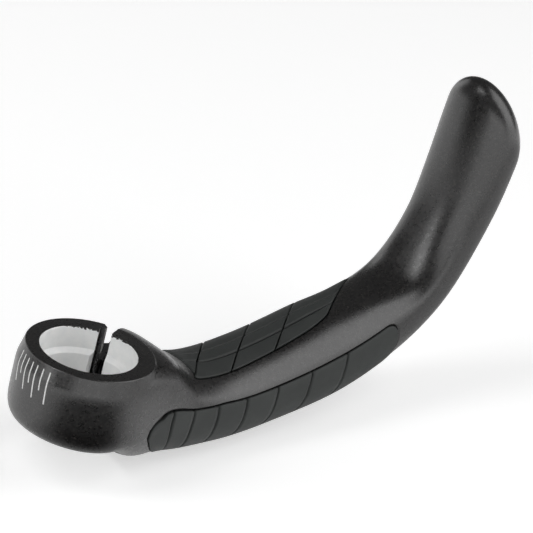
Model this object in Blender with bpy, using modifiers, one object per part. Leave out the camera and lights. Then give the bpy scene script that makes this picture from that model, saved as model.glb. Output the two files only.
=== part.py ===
"""Bicycle bar end: a cast arm with a split clamp, two inset rubber pads and the clamp's bolt and washer.

Metres. +Z runs along the handlebar's axis towards the grip, and the clamp's grip side face is at Z = 0.
+X is the way the arm leaves the clamp, -Y is the palm's side and +Y the side of the clamp bolt.
"""
import math
from typing import NamedTuple

import bmesh
import bpy
import numpy as np
from mathutils import Matrix, Vector

COLLECTION_NAME = "bicycle_bar_end"
CUTTER_COLLECTION_NAME = "cutters"
MM = 0.001

# Clearances
FIT_GAP = 0.3 * MM
CUT_OVERRUN = 3.0 * MM

# Clamp ring
BAR_DIAMETER = 22.2 * MM
BAR_CLEARANCE = 0.05 * MM
MOUTH_DIAMETER = 24.8 * MM
MOUTH_DEPTH = 5.8 * MM
MOUTH_CHAMFER = 1.0 * MM
RIM_RADIUS = 16.65 * MM
RIM_OFFSET = 0.6 * MM
RIM_DEPTH = 8.0 * MM
RIM_PROUD = 0.35 * MM
RIM_BEVEL = 0.3 * MM
CLAMP_HEIGHT = 20.8 * MM
OUTER_FACE_RADIUS = 13.4 * MM
HEEL_LIFT = 1.5 * MM

# Clamp slot
SLOT_AZIMUTH = math.radians(24.0)
SLOT_WIDTH = 2.5 * MM
SLOT_OFFSET = 0.9 * MM
SLOT_START = 6.0 * MM
SLOT_REACH = 42.0 * MM
LOBE_LENGTH = 27.0 * MM

# Clamp bolt, a socket head cap screw with a washer under its head
BOLT_DIAMETER = 5.0 * MM
BOLT_HEAD_DIAMETER = 8.5 * MM
BOLT_HEAD_HEIGHT = 3.5 * MM
BOLT_SOCKET_ACROSS_FLATS = 4.0 * MM
BOLT_SOCKET_DEPTH = 2.1 * MM
BOLT_THREAD_LENGTH = 12.0 * MM
BOLT_BESIDE_BAR = 6.5 * MM
BOLT_RADIAL_PLACE = 0.5 * BAR_DIAMETER + BOLT_BESIDE_BAR
BOLT_DEPTH = 12.6 * MM
BOLT_EDGE = 0.4 * MM
LOBE_THICKNESS = 2.8 * MM
WASHER_DIAMETER = 9.0 * MM
WASHER_THICKNESS = 1.0 * MM
WASHER_FLAT_GAP = 0.05 * MM

# Inset rubber pads
PAD_THICKNESS = 1.6 * MM
PAD_PROUD = 0.25 * MM
GROOVE_WALL_SHARE = 0.1
PALM_START = 13.0 * MM
PALM_LENGTH = 97.0 * MM
PALM_UPPER_ANGLE = math.radians(160.0)
PALM_LOWER_ANGLE = math.radians(232.0)
PALM_DIP = math.radians(24.0)
PALM_DIP_LENGTH = 36.0 * MM
PALM_DIP_EASE = 1.6
PALM_MIDDLE_ANGLE = math.radians(180.0)
PALM_START_LEAN = 0.24 * MM / math.radians(1.0)
PALM_FAR_LEAN = -0.11 * MM / math.radians(1.0)
PALM_LEAN_FADE = 24.0 * MM
PALM_END_GAP_SHARE = 1.4
PALM_END_RADIUS = 6.5 * MM
PALM_END_POWER = 2.2
PALM_END_SHARE = 0.14
PALM_GROOVE_WIDTH = 0.6 * MM
PALM_GROOVE_DEPTH = 0.7 * MM
PALM_FIRST_BLOCK = 8.5 * MM
PALM_SECOND_BLOCK = 8.8 * MM
PALM_BLOCK_GROWTH = 1.09
PALM_GROOVE_COUNT = 7
FINGER_START = 30.8 * MM
FINGER_LENGTH = 52.5 * MM
FINGER_UPPER_ANGLE = math.radians(43.0)
FINGER_LOWER_ANGLE = math.radians(121.0)
FINGER_END_ANGLE = math.radians(103.0)
FINGER_CORNER_ANGLE = math.radians(9.0)
FINGER_CORNER_RADIUS = 3.0 * MM
FINGER_CORNER_STEPS = 4
FINGER_EDGE_EASE = 3.0
FINGER_SLANT = 0.36 * MM / math.radians(1.0)
FINGER_START_SLANT = 0.09 * MM / math.radians(1.0)
FINGER_GROOVE_WIDTH = 0.6 * MM
FINGER_GROOVE_DEPTH = 0.7 * MM
FINGER_CROSS_GROOVES = (0.6 * MM, 16.5 * MM, 33.1 * MM)
FINGER_LINE_ANGLES = (math.radians(94.0), math.radians(78.0))
FINGER_LINE_WIDTH = math.radians(2.2)

# Mesh fineness
FINGER_BLOCK_STEPS = 4
FINGER_WEDGE_STEPS = 4
PALM_BLOCK_STEPS = 3
PALM_WIDTH_LINES = 10
PALM_END_STEPS = 5
SECTION_POINTS = 40
REAR_STEPS = 18
ARM_STEPS = 46
CIRCLE_POINTS = 48
BOLT_POINTS = 24
MERGE_DISTANCE = 0.01 * MM
SPINE_NUDGE = 0.05 * MM
SHARP_ANGLE = math.radians(35.0)

# Arm, measured from the bore's axis and the rim's plane
TIP_REACH = 134.8 * MM
TIP_RISE = 46.2 * MM
TIP_HALF_WIDTH = 11.6 * MM


class Station(NamedTuple):
    """A section of the arm: its middle, its half sizes towards the grip, outwards and sideways, and how square
    its two halves are."""

    reach: float
    rise: float
    inner: float
    outer: float
    half_width: float
    inner_power: float = 2.3
    outer_power: float = 2.3


CLAMP = Station(0.0, -11.0 * MM, 11.0 * MM - RIM_PROUD, 12.5 * MM, 17.5 * MM, 6.0, 4.0)
THROAT = Station(16.5 * MM, -14.7 * MM, 14.1 * MM, 15.4 * MM, 15.4 * MM, 3.4, 2.8)
ROOT = Station(29.0 * MM, -18.9 * MM, 10.7 * MM, 13.0 * MM, 14.1 * MM, 2.6)
PALM_LOW = Station(43.0 * MM, -21.2 * MM, 10.2 * MM, 11.1 * MM, 13.6 * MM, 2.4)
PALM_MIDDLE = Station(64.0 * MM, -20.3 * MM, 11.0 * MM, 10.8 * MM, 13.2 * MM, 2.4)
PALM_HIGH = Station(85.0 * MM, -16.6 * MM, 11.9 * MM, 11.7 * MM, 13.0 * MM, 2.4)
ELBOW_START = Station(103.0 * MM, -10.6 * MM, 9.7 * MM, 12.5 * MM, 11.9 * MM, 2.4)
ELBOW = Station(119.0 * MM, 0.0, 6.2 * MM, 13.0 * MM, 11.2 * MM, 2.4)
ELBOW_END = Station(128.5 * MM, 14.0 * MM, 7.6 * MM, 11.4 * MM, 11.3 * MM, 2.5)
TIP_MIDDLE = Station(132.8 * MM, 29.0 * MM, 8.6 * MM, 11.4 * MM, 11.4 * MM, 2.6)
TIP = Station(TIP_REACH, TIP_RISE, 9.0 * MM, 11.5 * MM, TIP_HALF_WIDTH, 2.5)
STATIONS = (
    CLAMP,
    THROAT,
    ROOT,
    PALM_LOW,
    PALM_MIDDLE,
    PALM_HIGH,
    ELBOW_START,
    ELBOW,
    ELBOW_END,
    TIP_MIDDLE,
    TIP,
)
SQUARE_PLANE_LENGTH = 26.0 * MM
TIP_SLANT = 0.75
TIP_SLANT_LENGTH = 24.0 * MM
TIP_SLANT_EASE = 1.5
TIP_DOME = 8.8 * MM
TIP_DOME_STEPS = 6
TIP_DOME_POWER = 2.4

# Colours and surfaces
PAINT_BLACK = (0.018, 0.018, 0.019, 1.0)
RUBBER_GREY = (0.030, 0.031, 0.030, 1.0)
STEEL_BLACK = (0.030, 0.030, 0.032, 1.0)
STEEL_BRIGHT = (0.56, 0.57, 0.58, 1.0)
PAINT_ROUGHNESS = 0.45
RUBBER_ROUGHNESS = 0.7
BLACK_STEEL_ROUGHNESS = 0.4
BLACK_STEEL_METALLIC = 0.9
BRIGHT_STEEL_ROUGHNESS = 0.3
BRIGHT_STEEL_METALLIC = 1.0


def hermite(knots, values, slopes, at):
    """Cubic curve through values at the knots with the slopes given there, read at an array of places."""
    span = np.clip(np.searchsorted(knots, at, side="right") - 1, 0, len(knots) - 2)
    width = knots[span + 1] - knots[span]
    t = (at - knots[span]) / width
    start = (1 + 2 * t) * (1 - t) ** 2 * values[span] + t * (1 - t) ** 2 * width * slopes[span]
    end = t * t * (3 - 2 * t) * values[span + 1] + t * t * (t - 1) * width * slopes[span + 1]
    return start + end


def smooth_slopes(knots, values, first_slope):
    """Slopes that make the curve's bend continuous, with a set slope at the first knot and a free last end."""
    count = len(knots)
    matrix = np.zeros((count, count))
    right = np.zeros(count)
    widths = np.diff(knots)
    chords = np.diff(values) / widths
    matrix[0, 0] = 1.0
    right[0] = first_slope
    for i in range(1, count - 1):
        matrix[i, i - 1] = widths[i]
        matrix[i, i] = 2 * (widths[i - 1] + widths[i])
        matrix[i, i + 1] = widths[i - 1]
        right[i] = 3 * (widths[i] * chords[i - 1] + widths[i - 1] * chords[i])
    matrix[-1, -2] = 1.0
    matrix[-1, -1] = 2.0
    right[-1] = 3 * chords[-1]
    return np.linalg.solve(matrix, right)


def steady_slopes(knots, values):
    """Slopes that never carry the curve past its neighbours' values."""
    chords = np.diff(values) / np.diff(knots)
    slopes = np.zeros(len(knots))
    for i in range(1, len(knots) - 1):
        before, after = chords[i - 1], chords[i]
        if before * after > 0:
            slopes[i] = 2 * before * after / (before + after)
    return slopes


TABLE = np.array(STATIONS)
STEPS = np.hypot(np.diff(TABLE[:, 0]), np.diff(TABLE[:, 1]))
KNOTS = np.concatenate([[0.0], np.cumsum(STEPS)])
ARM_LENGTH = float(KNOTS[-1])
REACH_SLOPES = smooth_slopes(KNOTS, TABLE[:, 0], 1.0)
RISE_SLOPES = smooth_slopes(KNOTS, TABLE[:, 1], 0.0)


def size_along(field, at):
    """One of the stations' sizes, read along the arm."""
    values = TABLE[:, Station._fields.index(field)]
    return hermite(KNOTS, values, steady_slopes(KNOTS, values), at)


def spine_frame(at):
    """The middle line's point, its section plane's inward direction and its run direction, in the plane Y = 0."""
    x = hermite(KNOTS, TABLE[:, 0], REACH_SLOPES, at)
    z = hermite(KNOTS, TABLE[:, 1], RISE_SLOPES, at)
    dx = hermite(KNOTS, TABLE[:, 0], REACH_SLOPES, at + SPINE_NUDGE) - x
    dz = hermite(KNOTS, TABLE[:, 1], RISE_SLOPES, at + SPINE_NUDGE) - z
    square = np.clip(at / SQUARE_PLANE_LENGTH, 0.0, 1.0)
    length = np.hypot(dx, dz)
    run_x = square * dx / length + (1.0 - square)
    run_z = square * dz / length
    length = np.hypot(run_x, run_z)
    return x, z, run_x / length, run_z / length


def rounded(cosine, power):
    """A superellipse's coordinate from a cosine or a sine."""
    return np.sign(cosine) * np.abs(cosine) ** (2.0 / power)


def section_shape(at, angle, offset=0.0):
    """Sideways and inward distances of the skin from the middle line, at a place and an angle round it.

    The angle starts at +Y and turns towards the grip side. The offset stands outside the skin.
    """
    power_in = size_along("inner_power", at)
    power_out = size_along("outer_power", at)
    inward = np.sin(angle) >= 0
    power = np.where(inward, power_in, power_out)
    height = np.where(inward, size_along("inner", at), size_along("outer", at))
    side = (size_along("half_width", at) + offset) * rounded(np.cos(angle), power)
    up = (height + offset) * rounded(np.sin(angle), power)
    return side, up


def arm_point(at, angle, offset=0.0):
    """A point of the arm's skin, or of a surface at a distance outside it, as arrays of X, Y and Z."""
    x, z, run_x, run_z = spine_frame(at)
    side, up = section_shape(at, angle, offset)
    slant_part = np.clip((at - (ARM_LENGTH - TIP_SLANT_LENGTH)) / TIP_SLANT_LENGTH, 0.0, 1.0)
    along = TIP_SLANT * slant_part**TIP_SLANT_EASE * up
    return np.stack([x - run_z * up + run_x * along, side, z + run_x * up + run_z * along], axis=-1)


def clean_scene():
    """Remove what a new file holds."""
    for thing in list(bpy.data.objects):
        bpy.data.objects.remove(thing)


def new_collection(name):
    """A collection under the scene."""
    collection = bpy.data.collections.new(name)
    bpy.context.scene.collection.children.link(collection)
    return collection


def new_material(name, colour, roughness, metallic=0.0):
    """A plain Principled material."""
    material = bpy.data.materials.new(name)
    material.use_nodes = True
    shader = material.node_tree.nodes["Principled BSDF"]
    shader.inputs["Base Color"].default_value = colour
    shader.inputs["Roughness"].default_value = roughness
    shader.inputs["Metallic"].default_value = metallic
    return material


def object_from_bmesh(name, shape, collection, smooth=True):
    """Make an object of a bmesh, with its faces pointing out."""
    bmesh.ops.recalc_face_normals(shape, faces=shape.faces)
    mesh = bpy.data.meshes.new(name)
    shape.to_mesh(mesh)
    shape.free()
    made = bpy.data.objects.new(name, mesh)
    collection.objects.link(made)
    if smooth:
        mesh.shade_smooth()
        mesh.set_sharp_from_angle(angle=SHARP_ANGLE)
    return made


def cutter_from_bmesh(name, shape, collection):
    """An object that only cuts."""
    cutter = object_from_bmesh(name, shape, collection, smooth=False)
    cutter.hide_render = True
    cutter.display_type = "WIRE"
    return cutter


def cut(target, cutter, operation="DIFFERENCE"):
    """Cut one object with another, or join them."""
    modifier = target.modifiers.new(cutter.name, "BOOLEAN")
    modifier.operation = operation
    modifier.solver = "EXACT"
    modifier.object = cutter


def add_ring(shape, points):
    """Add a row of vertices."""
    return [shape.verts.new(point) for point in points]


def bridge(shape, first, second, closed=True):
    """Join two rows of vertices with quads."""
    count = len(first) if closed else len(first) - 1
    for i in range(count):
        j = (i + 1) % len(first)
        shape.faces.new((first[i], first[j], second[j], second[i]))


def turned(name, profile, collection, steps=CIRCLE_POINTS, closed=False):
    """Turn a profile of radius and height pairs, running down its outer side, round +Z."""
    shape = bmesh.new()
    points = [shape.verts.new((radius, 0.0, height)) for radius, height in profile]
    ends = points[1:] + points[:1] if closed else points[1:]
    for first, second in zip(points, ends):
        shape.edges.new((first, second))
    mesh = bpy.data.meshes.new(name)
    shape.to_mesh(mesh)
    shape.free()
    made = bpy.data.objects.new(name, mesh)
    collection.objects.link(made)
    screw = made.modifiers.new("turn", "SCREW")
    screw.steps = steps
    screw.render_steps = steps
    screw.use_merge_vertices = True
    screw.merge_threshold = MERGE_DISTANCE
    return made


def turned_cutter(name, profile, collection, steps=CIRCLE_POINTS):
    """A turned object that only cuts."""
    cutter = turned(name, profile, collection, steps)
    cutter.hide_render = True
    cutter.display_type = "WIRE"
    return cutter


def arm_blank(collection):
    """The cast outer form: half a turned heel round the bar and a loft from there to the slanted tip."""
    shape = bmesh.new()
    quarter = SECTION_POINTS // 4
    angles = np.linspace(0.0, 2 * math.pi, SECTION_POINTS, endpoint=False)
    places = np.linspace(0.0, ARM_LENGTH, ARM_STEPS)
    rings = [add_ring(shape, arm_point(np.full(SECTION_POINTS, place), angles)) for place in places]
    for first, second in zip(rings, rings[1:]):
        bridge(shape, first, second)
    # Tip dome
    x, z, run_x, run_z = (float(value[0]) for value in spine_frame(np.array([ARM_LENGTH])))
    side, up = section_shape(np.full(SECTION_POINTS, ARM_LENGTH), angles)
    last = rings[-1]
    for step in range(1, TIP_DOME_STEPS):
        share = math.sin(0.5 * math.pi * step / TIP_DOME_STEPS)
        narrow = (1.0 - share**TIP_DOME_POWER) ** (1.0 / TIP_DOME_POWER)
        along = TIP_SLANT * narrow * up + TIP_DOME * share
        row = np.stack(
            [x - run_z * narrow * up + run_x * along, narrow * side, z + run_x * narrow * up + run_z * along], axis=-1
        )
        ring = add_ring(shape, row)
        bridge(shape, last, ring)
        last = ring
    shape.faces.new(last)
    # Heel: the first section's two halves are the ends of a half turn about the bar's axis
    first = rings[0]
    near_side = [first[(3 * quarter - i) % SECTION_POINTS] for i in range(2 * quarter + 1)]
    far_side = [first[(i - quarter) % SECTION_POINTS] for i in range(2 * quarter + 1)]
    half_angles = np.linspace(-0.5 * math.pi, 0.5 * math.pi, 2 * quarter + 1)
    radii, heights = section_shape(np.zeros(2 * quarter + 1), half_angles)
    previous = far_side
    for step in range(1, REAR_STEPS):
        azimuth = 0.5 * math.pi + math.pi * step / REAR_STEPS
        lift = HEEL_LIFT * abs(math.cos(azimuth)) / CLAMP.outer
        row = [far_side[0]]
        for radius, height in zip(radii[1:-1], heights[1:-1]):
            level = CLAMP.rise + (height * (1 - lift) if height < 0 else height)
            row.append(shape.verts.new((radius * math.cos(azimuth), radius * math.sin(azimuth), level)))
        row.append(far_side[-1])
        heel_strip(shape, previous, row)
        previous = row
    heel_strip(shape, previous, near_side)
    return object_from_bmesh("arm_body", shape, collection)


def heel_strip(shape, first, second):
    """Faces between two of the heel's rows, whose ends are the same vertices."""
    last = len(first) - 1
    shape.faces.new((first[0], first[1], second[1]))
    for i in range(1, last - 1):
        shape.faces.new((first[i], first[i + 1], second[i + 1], second[i]))
    shape.faces.new((first[last - 1], first[last], second[last - 1]))


def rim_collar(collection):
    """The flat, round rim of the clamp's grip side."""
    profile = [
        (0.0, 0.0),
        (RIM_RADIUS - RIM_BEVEL, 0.0),
        (RIM_RADIUS, -RIM_BEVEL),
        (RIM_RADIUS, -RIM_DEPTH),
        (0.0, -RIM_DEPTH),
    ]
    collar = turned_cutter("rim_collar", profile, collection)
    collar.location.x = RIM_OFFSET
    return collar


def bore_cutter(collection):
    """The handlebar's bore with the wider mouth at the grip side."""
    bore = 0.5 * BAR_DIAMETER + BAR_CLEARANCE
    mouth = 0.5 * MOUTH_DIAMETER
    low = -CLAMP_HEIGHT - CUT_OVERRUN
    profile = [
        (0.0, CUT_OVERRUN),
        (mouth, CUT_OVERRUN),
        (mouth, -MOUTH_DEPTH),
        (bore, -MOUTH_DEPTH - MOUTH_CHAMFER),
        (bore, low),
        (0.0, low),
    ]
    return turned_cutter("bore", profile, collection)


def outer_face_cutter(collection):
    """The flat seat cut into the cast underside round the bore."""
    low = CLAMP.rise - THROAT.outer - CLAMP.outer
    profile = [
        (0.0, -CLAMP_HEIGHT),
        (OUTER_FACE_RADIUS, -CLAMP_HEIGHT),
        (OUTER_FACE_RADIUS, low),
        (0.0, low),
    ]
    return turned_cutter("outer_face", profile, collection)


def slot_side_box(name, start, end, low_side, high_side, collection):
    """A tall box laid along the slot, between two distances from the bar's axis and two distances sideways."""
    shape = bmesh.new()
    bmesh.ops.create_cube(shape, size=1.0)
    height = 2 * (CLAMP_HEIGHT + THROAT.outer)
    middle = Matrix.Translation(Vector((0.5 * (start + end), 0.5 * (low_side + high_side), 0.0)))
    size = Matrix.Diagonal(Vector((end - start, high_side - low_side, height, 1.0)))
    bmesh.ops.transform(shape, matrix=Matrix.Rotation(SLOT_AZIMUTH, 4, "Z") @ middle @ size, verts=shape.verts)
    return cutter_from_bmesh(name, shape, collection)


def slot_cutter(collection):
    """The saw cut that lets the clamp close, from the bore out through the bolt's side of the arm."""
    low_side = SLOT_OFFSET - 0.5 * SLOT_WIDTH
    return slot_side_box("slot", SLOT_START, SLOT_REACH, low_side, low_side + SLOT_WIDTH, collection)


def lobe_end_cutter(collection):
    """Cuts the clamp's free lobe off square, where the slot would leave it as a thin wedge."""
    return slot_side_box("lobe_end", LOBE_LENGTH, SLOT_REACH, SLOT_OFFSET, CLAMP.half_width, collection)


def bolt_frame():
    """The place and turn of the bolt: local +Z points out of the head, local origin is in the slot's middle."""
    turn = Matrix.Rotation(SLOT_AZIMUTH, 4, "Z")
    place = Matrix.Translation(Vector((BOLT_RADIAL_PLACE, SLOT_OFFSET, -BOLT_DEPTH)))
    lay_down = Matrix.Rotation(math.radians(-90.0), 4, "X")
    return turn @ place @ lay_down


def head_seat():
    """Distance from the slot's middle to the seat of the washer."""
    return 0.5 * SLOT_WIDTH + LOBE_THICKNESS


def bolt_hole_cutter(collection):
    """Through hole, blind threaded hole and the recess of the head, as one turned shape."""
    seat = head_seat()
    recess = 0.5 * WASHER_DIAMETER + FIT_GAP
    hole = 0.5 * BOLT_DIAMETER + FIT_GAP
    tap_end = -0.5 * SLOT_WIDTH - BOLT_THREAD_LENGTH - 2 * FIT_GAP
    out = seat + BOLT_HEAD_HEIGHT + WASHER_THICKNESS + 3 * CUT_OVERRUN
    profile = [(0.0, out), (recess, out), (recess, seat), (hole, seat), (hole, tap_end), (0.0, tap_end)]
    cutter = turned_cutter("bolt_hole", profile, collection, BOLT_POINTS)
    cutter.matrix_world = bolt_frame()
    return cutter


def clamp_bolt(collection, cutters, steel):
    """Socket head cap screw, its thread left plain."""
    under_head = head_seat() + WASHER_THICKNESS + 2 * WASHER_FLAT_GAP
    top = under_head + BOLT_HEAD_HEIGHT
    end = -0.5 * SLOT_WIDTH - BOLT_THREAD_LENGTH
    shank = 0.5 * BOLT_DIAMETER
    head = 0.5 * BOLT_HEAD_DIAMETER
    profile = [
        (0.0, top),
        (head - BOLT_EDGE, top),
        (head, top - BOLT_EDGE),
        (head, under_head),
        (shank, under_head),
        (shank, end + BOLT_EDGE),
        (shank - BOLT_EDGE, end),
        (0.0, end),
    ]
    bolt = turned("clamp_bolt", profile, collection, BOLT_POINTS)
    bolt.matrix_world = bolt_frame()
    bolt.data.materials.append(steel)
    socket_shape = bmesh.new()
    across_corners = BOLT_SOCKET_ACROSS_FLATS / math.sqrt(3.0)
    bmesh.ops.create_cone(
        socket_shape,
        cap_ends=True,
        segments=6,
        radius1=across_corners,
        radius2=across_corners,
        depth=2 * BOLT_SOCKET_DEPTH,
        matrix=Matrix.Translation(Vector((0.0, 0.0, top))),
    )
    socket = cutter_from_bmesh("bolt_socket", socket_shape, cutters)
    socket.matrix_world = bolt_frame()
    cut(bolt, socket)
    return bolt


def clamp_washer(collection, steel):
    """Flat washer under the bolt's head."""
    inner = 0.5 * BOLT_DIAMETER + FIT_GAP
    outer = 0.5 * WASHER_DIAMETER
    low = head_seat() + WASHER_FLAT_GAP
    high = low + WASHER_THICKNESS
    profile = [(inner, high), (outer, high), (outer, low), (inner, low)]
    washer = turned("clamp_washer", profile, collection, BOLT_POINTS, closed=True)
    washer.matrix_world = bolt_frame()
    washer.data.materials.append(steel)
    return washer


def grid_lines(start, end, grooves, width, pieces, with_walls):
    """Places or angles across a pad: even steps on its blocks, and both edges of each groove's walls."""
    if not with_walls:
        width = 0.0
    marks = [start]
    for groove in sorted(grooves):
        marks += [groove - 0.5 * width, groove + 0.5 * width]
    marks.append(end)
    wall = GROOVE_WALL_SHARE * width
    lines = []
    for block_start, block_end in zip(marks[::2], marks[1::2]):
        lines.append(np.linspace(block_start, block_end, pieces + 1))
        if block_end < end:
            lines.append(np.array([block_end + wall, block_end + width - wall]))
    return np.unique(np.concatenate(lines))


def on_groove_floor(places, grooves, width):
    """Whether each place or angle lies on a groove's floor."""
    deep = np.zeros(places.shape, dtype=bool)
    for groove in grooves:
        deep |= np.abs(places - groove) < 0.5 * width * (1.0 - GROOVE_WALL_SHARE)
    return deep


def slab(place, angle, top, bottom):
    """A closed curved slab: a grid of skin points at the top offsets, the same at the bottom, and its edge."""
    shape = bmesh.new()
    upper = arm_point(place, angle, top)
    lower = arm_point(place, angle, bottom)
    rows, columns = place.shape
    grids = [[add_ring(shape, points[i]) for i in range(rows)] for points in (upper, lower)]
    for grid in grids:
        for i in range(rows - 1):
            bridge(shape, grid[i], grid[i + 1], closed=False)
    top_grid, low_grid = grids
    for i in (0, rows - 1):
        bridge(shape, top_grid[i], low_grid[i], closed=False)
    for j in (0, columns - 1):
        first = [row[j] for row in top_grid]
        second = [row[j] for row in low_grid]
        bridge(shape, first, second, closed=False)
    return shape


def palm_grooves():
    """Where the palm pad's grooves cross it: blocks that grow towards the arm's elbow."""
    place = PALM_START + PALM_FIRST_BLOCK
    block = PALM_SECOND_BLOCK
    grooves = []
    for _ in range(PALM_GROOVE_COUNT):
        grooves.append(place)
        place += block
        block *= PALM_BLOCK_GROWTH
    return grooves


def palm_outline(place, margin):
    """The pad's two edge angles at places along it, with round ends."""
    end_margin = PALM_END_GAP_SHARE * margin
    start = PALM_START - end_margin
    end = PALM_START + PALM_LENGTH + end_margin
    turn = margin / PALM_MIDDLE.half_width
    dip = PALM_DIP * np.clip(1.0 - (place - PALM_START) / PALM_DIP_LENGTH, 0.0, 1.0) ** PALM_DIP_EASE
    upper = PALM_UPPER_ANGLE + dip - turn
    lower = PALM_LOWER_ANGLE + turn
    near_end = np.minimum(place - start, end - place)
    share = np.clip(1.0 - near_end / (PALM_END_RADIUS + end_margin), 0.0, 1.0)
    ease = np.maximum(1.0 - share**PALM_END_POWER, PALM_END_SHARE**2) ** 0.5
    middle = 0.5 * (upper + lower)
    half = 0.5 * (lower - upper)
    return middle - half * ease, middle + half * ease


def end_steps(start, end, radius, steps):
    """Places near a pad's two round ends, closer together towards the end."""
    turn = 1.0 - np.cos(0.5 * math.pi * np.arange(steps) / steps)
    return start + radius * turn, end - radius * turn[::-1]


def palm_slab(margin, top, bottom, grooved):
    """The palm pad's solid, or its recess, from the same outline."""
    end_margin = PALM_END_GAP_SHARE * margin
    start = PALM_START - end_margin
    end = PALM_START + PALM_LENGTH + end_margin
    head, tail = end_steps(start, end, PALM_END_RADIUS + end_margin, PALM_END_STEPS)
    grooves = palm_grooves()
    places = grid_lines(head[-1], tail[0], grooves, PALM_GROOVE_WIDTH, PALM_BLOCK_STEPS, grooved)
    lines = np.concatenate([head[:-1], places, tail[1:]])
    deep = on_groove_floor(lines, grooves, PALM_GROOVE_WIDTH) & grooved
    low, high = palm_outline(lines, margin)
    share = np.linspace(0.0, 1.0, PALM_WIDTH_LINES)
    angle = low[:, None] + (high - low)[:, None] * share[None, :]
    fade = np.exp((PALM_START - lines) / PALM_LEAN_FADE)
    lean = PALM_FAR_LEAN + (PALM_START_LEAN - PALM_FAR_LEAN) * fade
    place = lines[:, None] + lean[:, None] * (angle - PALM_MIDDLE_ANGLE)
    sink = np.repeat(np.where(deep, PALM_GROOVE_DEPTH, 0.0)[:, None], len(share), axis=1)
    return slab(place, angle, top - sink, bottom + np.zeros(angle.shape))


def finger_edges(margin):
    """The finger pad's start, end and edge angles, grown by a margin."""
    turn = margin / PALM_MIDDLE.half_width
    slanted_margin = margin * math.hypot(1.0, FINGER_SLANT / PALM_MIDDLE.half_width)
    return (
        FINGER_START - margin,
        FINGER_START + FINGER_LENGTH + slanted_margin,
        FINGER_UPPER_ANGLE - turn,
        FINGER_LOWER_ANGLE + turn,
    )


def finger_slab(margin, top, bottom, grooved):
    """The finger pad's solid, or its recess: slanted rows and columns of blocks."""
    start, end, low_angle, high_angle = finger_edges(margin)
    cross = [FINGER_START + groove for groove in FINGER_CROSS_GROOVES]
    first_wall = cross[0] - 0.5 * FINGER_GROOVE_WIDTH
    angles = grid_lines(
        low_angle, high_angle, FINGER_LINE_ANGLES, FINGER_LINE_WIDTH, FINGER_BLOCK_STEPS, grooved
    )
    columns = grid_lines(first_wall, end, cross, FINGER_GROOVE_WIDTH, FINGER_BLOCK_STEPS, grooved)
    corner_steps = np.linspace(0.0, FINGER_CORNER_RADIUS, FINGER_CORNER_STEPS)[1:]
    columns = np.sort(np.concatenate([columns, first_wall + FINGER_GROOVE_WIDTH + corner_steps]))
    # The slanted coordinate equals the place along the arm at the pad's lower edge
    left = start - (FINGER_SLANT - FINGER_START_SLANT) * (FINGER_LOWER_ANGLE - angles)
    share = np.linspace(0.0, 1.0, FINGER_WEDGE_STEPS + 1)[:-1]
    wedge = left[None, :] + (first_wall - left)[None, :] * share[:, None]
    slanted = np.concatenate([wedge, np.repeat(columns[:, None], len(angles), axis=1)])
    deep = on_groove_floor(slanted, cross, FINGER_GROOVE_WIDTH)
    deep |= on_groove_floor(angles, FINGER_LINE_ANGLES, FINGER_LINE_WIDTH)[None, :]
    from_start = np.clip(slanted - start, 0.0, None)
    narrow = (FINGER_LOWER_ANGLE - FINGER_END_ANGLE) * from_start / (end - start)
    corner = np.clip(1.0 - from_start / (FINGER_CORNER_RADIUS + margin), 0.0, 1.0)
    narrow += FINGER_CORNER_ANGLE * (1.0 - np.sqrt(1.0 - corner**2))
    turned_in = np.clip((angles - low_angle) / (high_angle - low_angle), 0.0, 1.0) ** FINGER_EDGE_EASE
    angle = angles[None, :] - narrow * turned_in[None, :]
    place = slanted + FINGER_SLANT * (FINGER_LOWER_ANGLE - angle)
    sink = np.where(deep & grooved, FINGER_GROOVE_DEPTH, 0.0)
    return slab(place, angle, top - sink, bottom + np.zeros(angle.shape))


def add_pad(name, make_slab, body, collection, cutters, rubber):
    """A rubber pad and the recess that it sits in."""
    pad = object_from_bmesh(name, make_slab(0.0, PAD_PROUD, PAD_PROUD - PAD_THICKNESS, True), collection)
    pad.data.materials.append(rubber)
    floor = PAD_PROUD - PAD_THICKNESS - FIT_GAP
    recess = cutter_from_bmesh(name + "_recess", make_slab(FIT_GAP, CUT_OVERRUN, floor, False), cutters)
    cut(body, recess)
    return pad


def build():
    """Make the whole bar end."""
    clean_scene()
    collection = new_collection(COLLECTION_NAME)
    cutters = new_collection(CUTTER_COLLECTION_NAME)
    paint = new_material("black_paint", PAINT_BLACK, PAINT_ROUGHNESS)
    rubber = new_material("grey_rubber", RUBBER_GREY, RUBBER_ROUGHNESS)
    black_steel = new_material("black_steel", STEEL_BLACK, BLACK_STEEL_ROUGHNESS, BLACK_STEEL_METALLIC)
    bright_steel = new_material("bright_steel", STEEL_BRIGHT, BRIGHT_STEEL_ROUGHNESS, BRIGHT_STEEL_METALLIC)

    body = arm_blank(collection)
    body.data.materials.append(paint)
    cut(body, rim_collar(cutters), "UNION")
    cut(body, outer_face_cutter(cutters))
    cut(body, bore_cutter(cutters))
    cut(body, slot_cutter(cutters))
    cut(body, lobe_end_cutter(cutters))
    cut(body, bolt_hole_cutter(cutters))
    add_pad("palm_pad", palm_slab, body, collection, cutters, rubber)
    add_pad("finger_pad", finger_slab, body, collection, cutters, rubber)
    clamp_bolt(collection, cutters, black_steel)
    clamp_washer(collection, bright_steel)


build()
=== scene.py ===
"""Looks of a bicycle bar end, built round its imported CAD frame.

Metres. +Z runs along the handlebar's axis towards the grip, and the clamp's grip side face is at Z = 0.
+X is the way the arm leaves the clamp, -Y is the palm's side and +Y the side of the clamp bolt.
"""

import logging
import math
from dataclasses import astuple, dataclass, field
from enum import Enum, IntEnum
from typing import Protocol

import bmesh
import bpy
import numpy as np
from mathutils import Matrix, Vector


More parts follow.
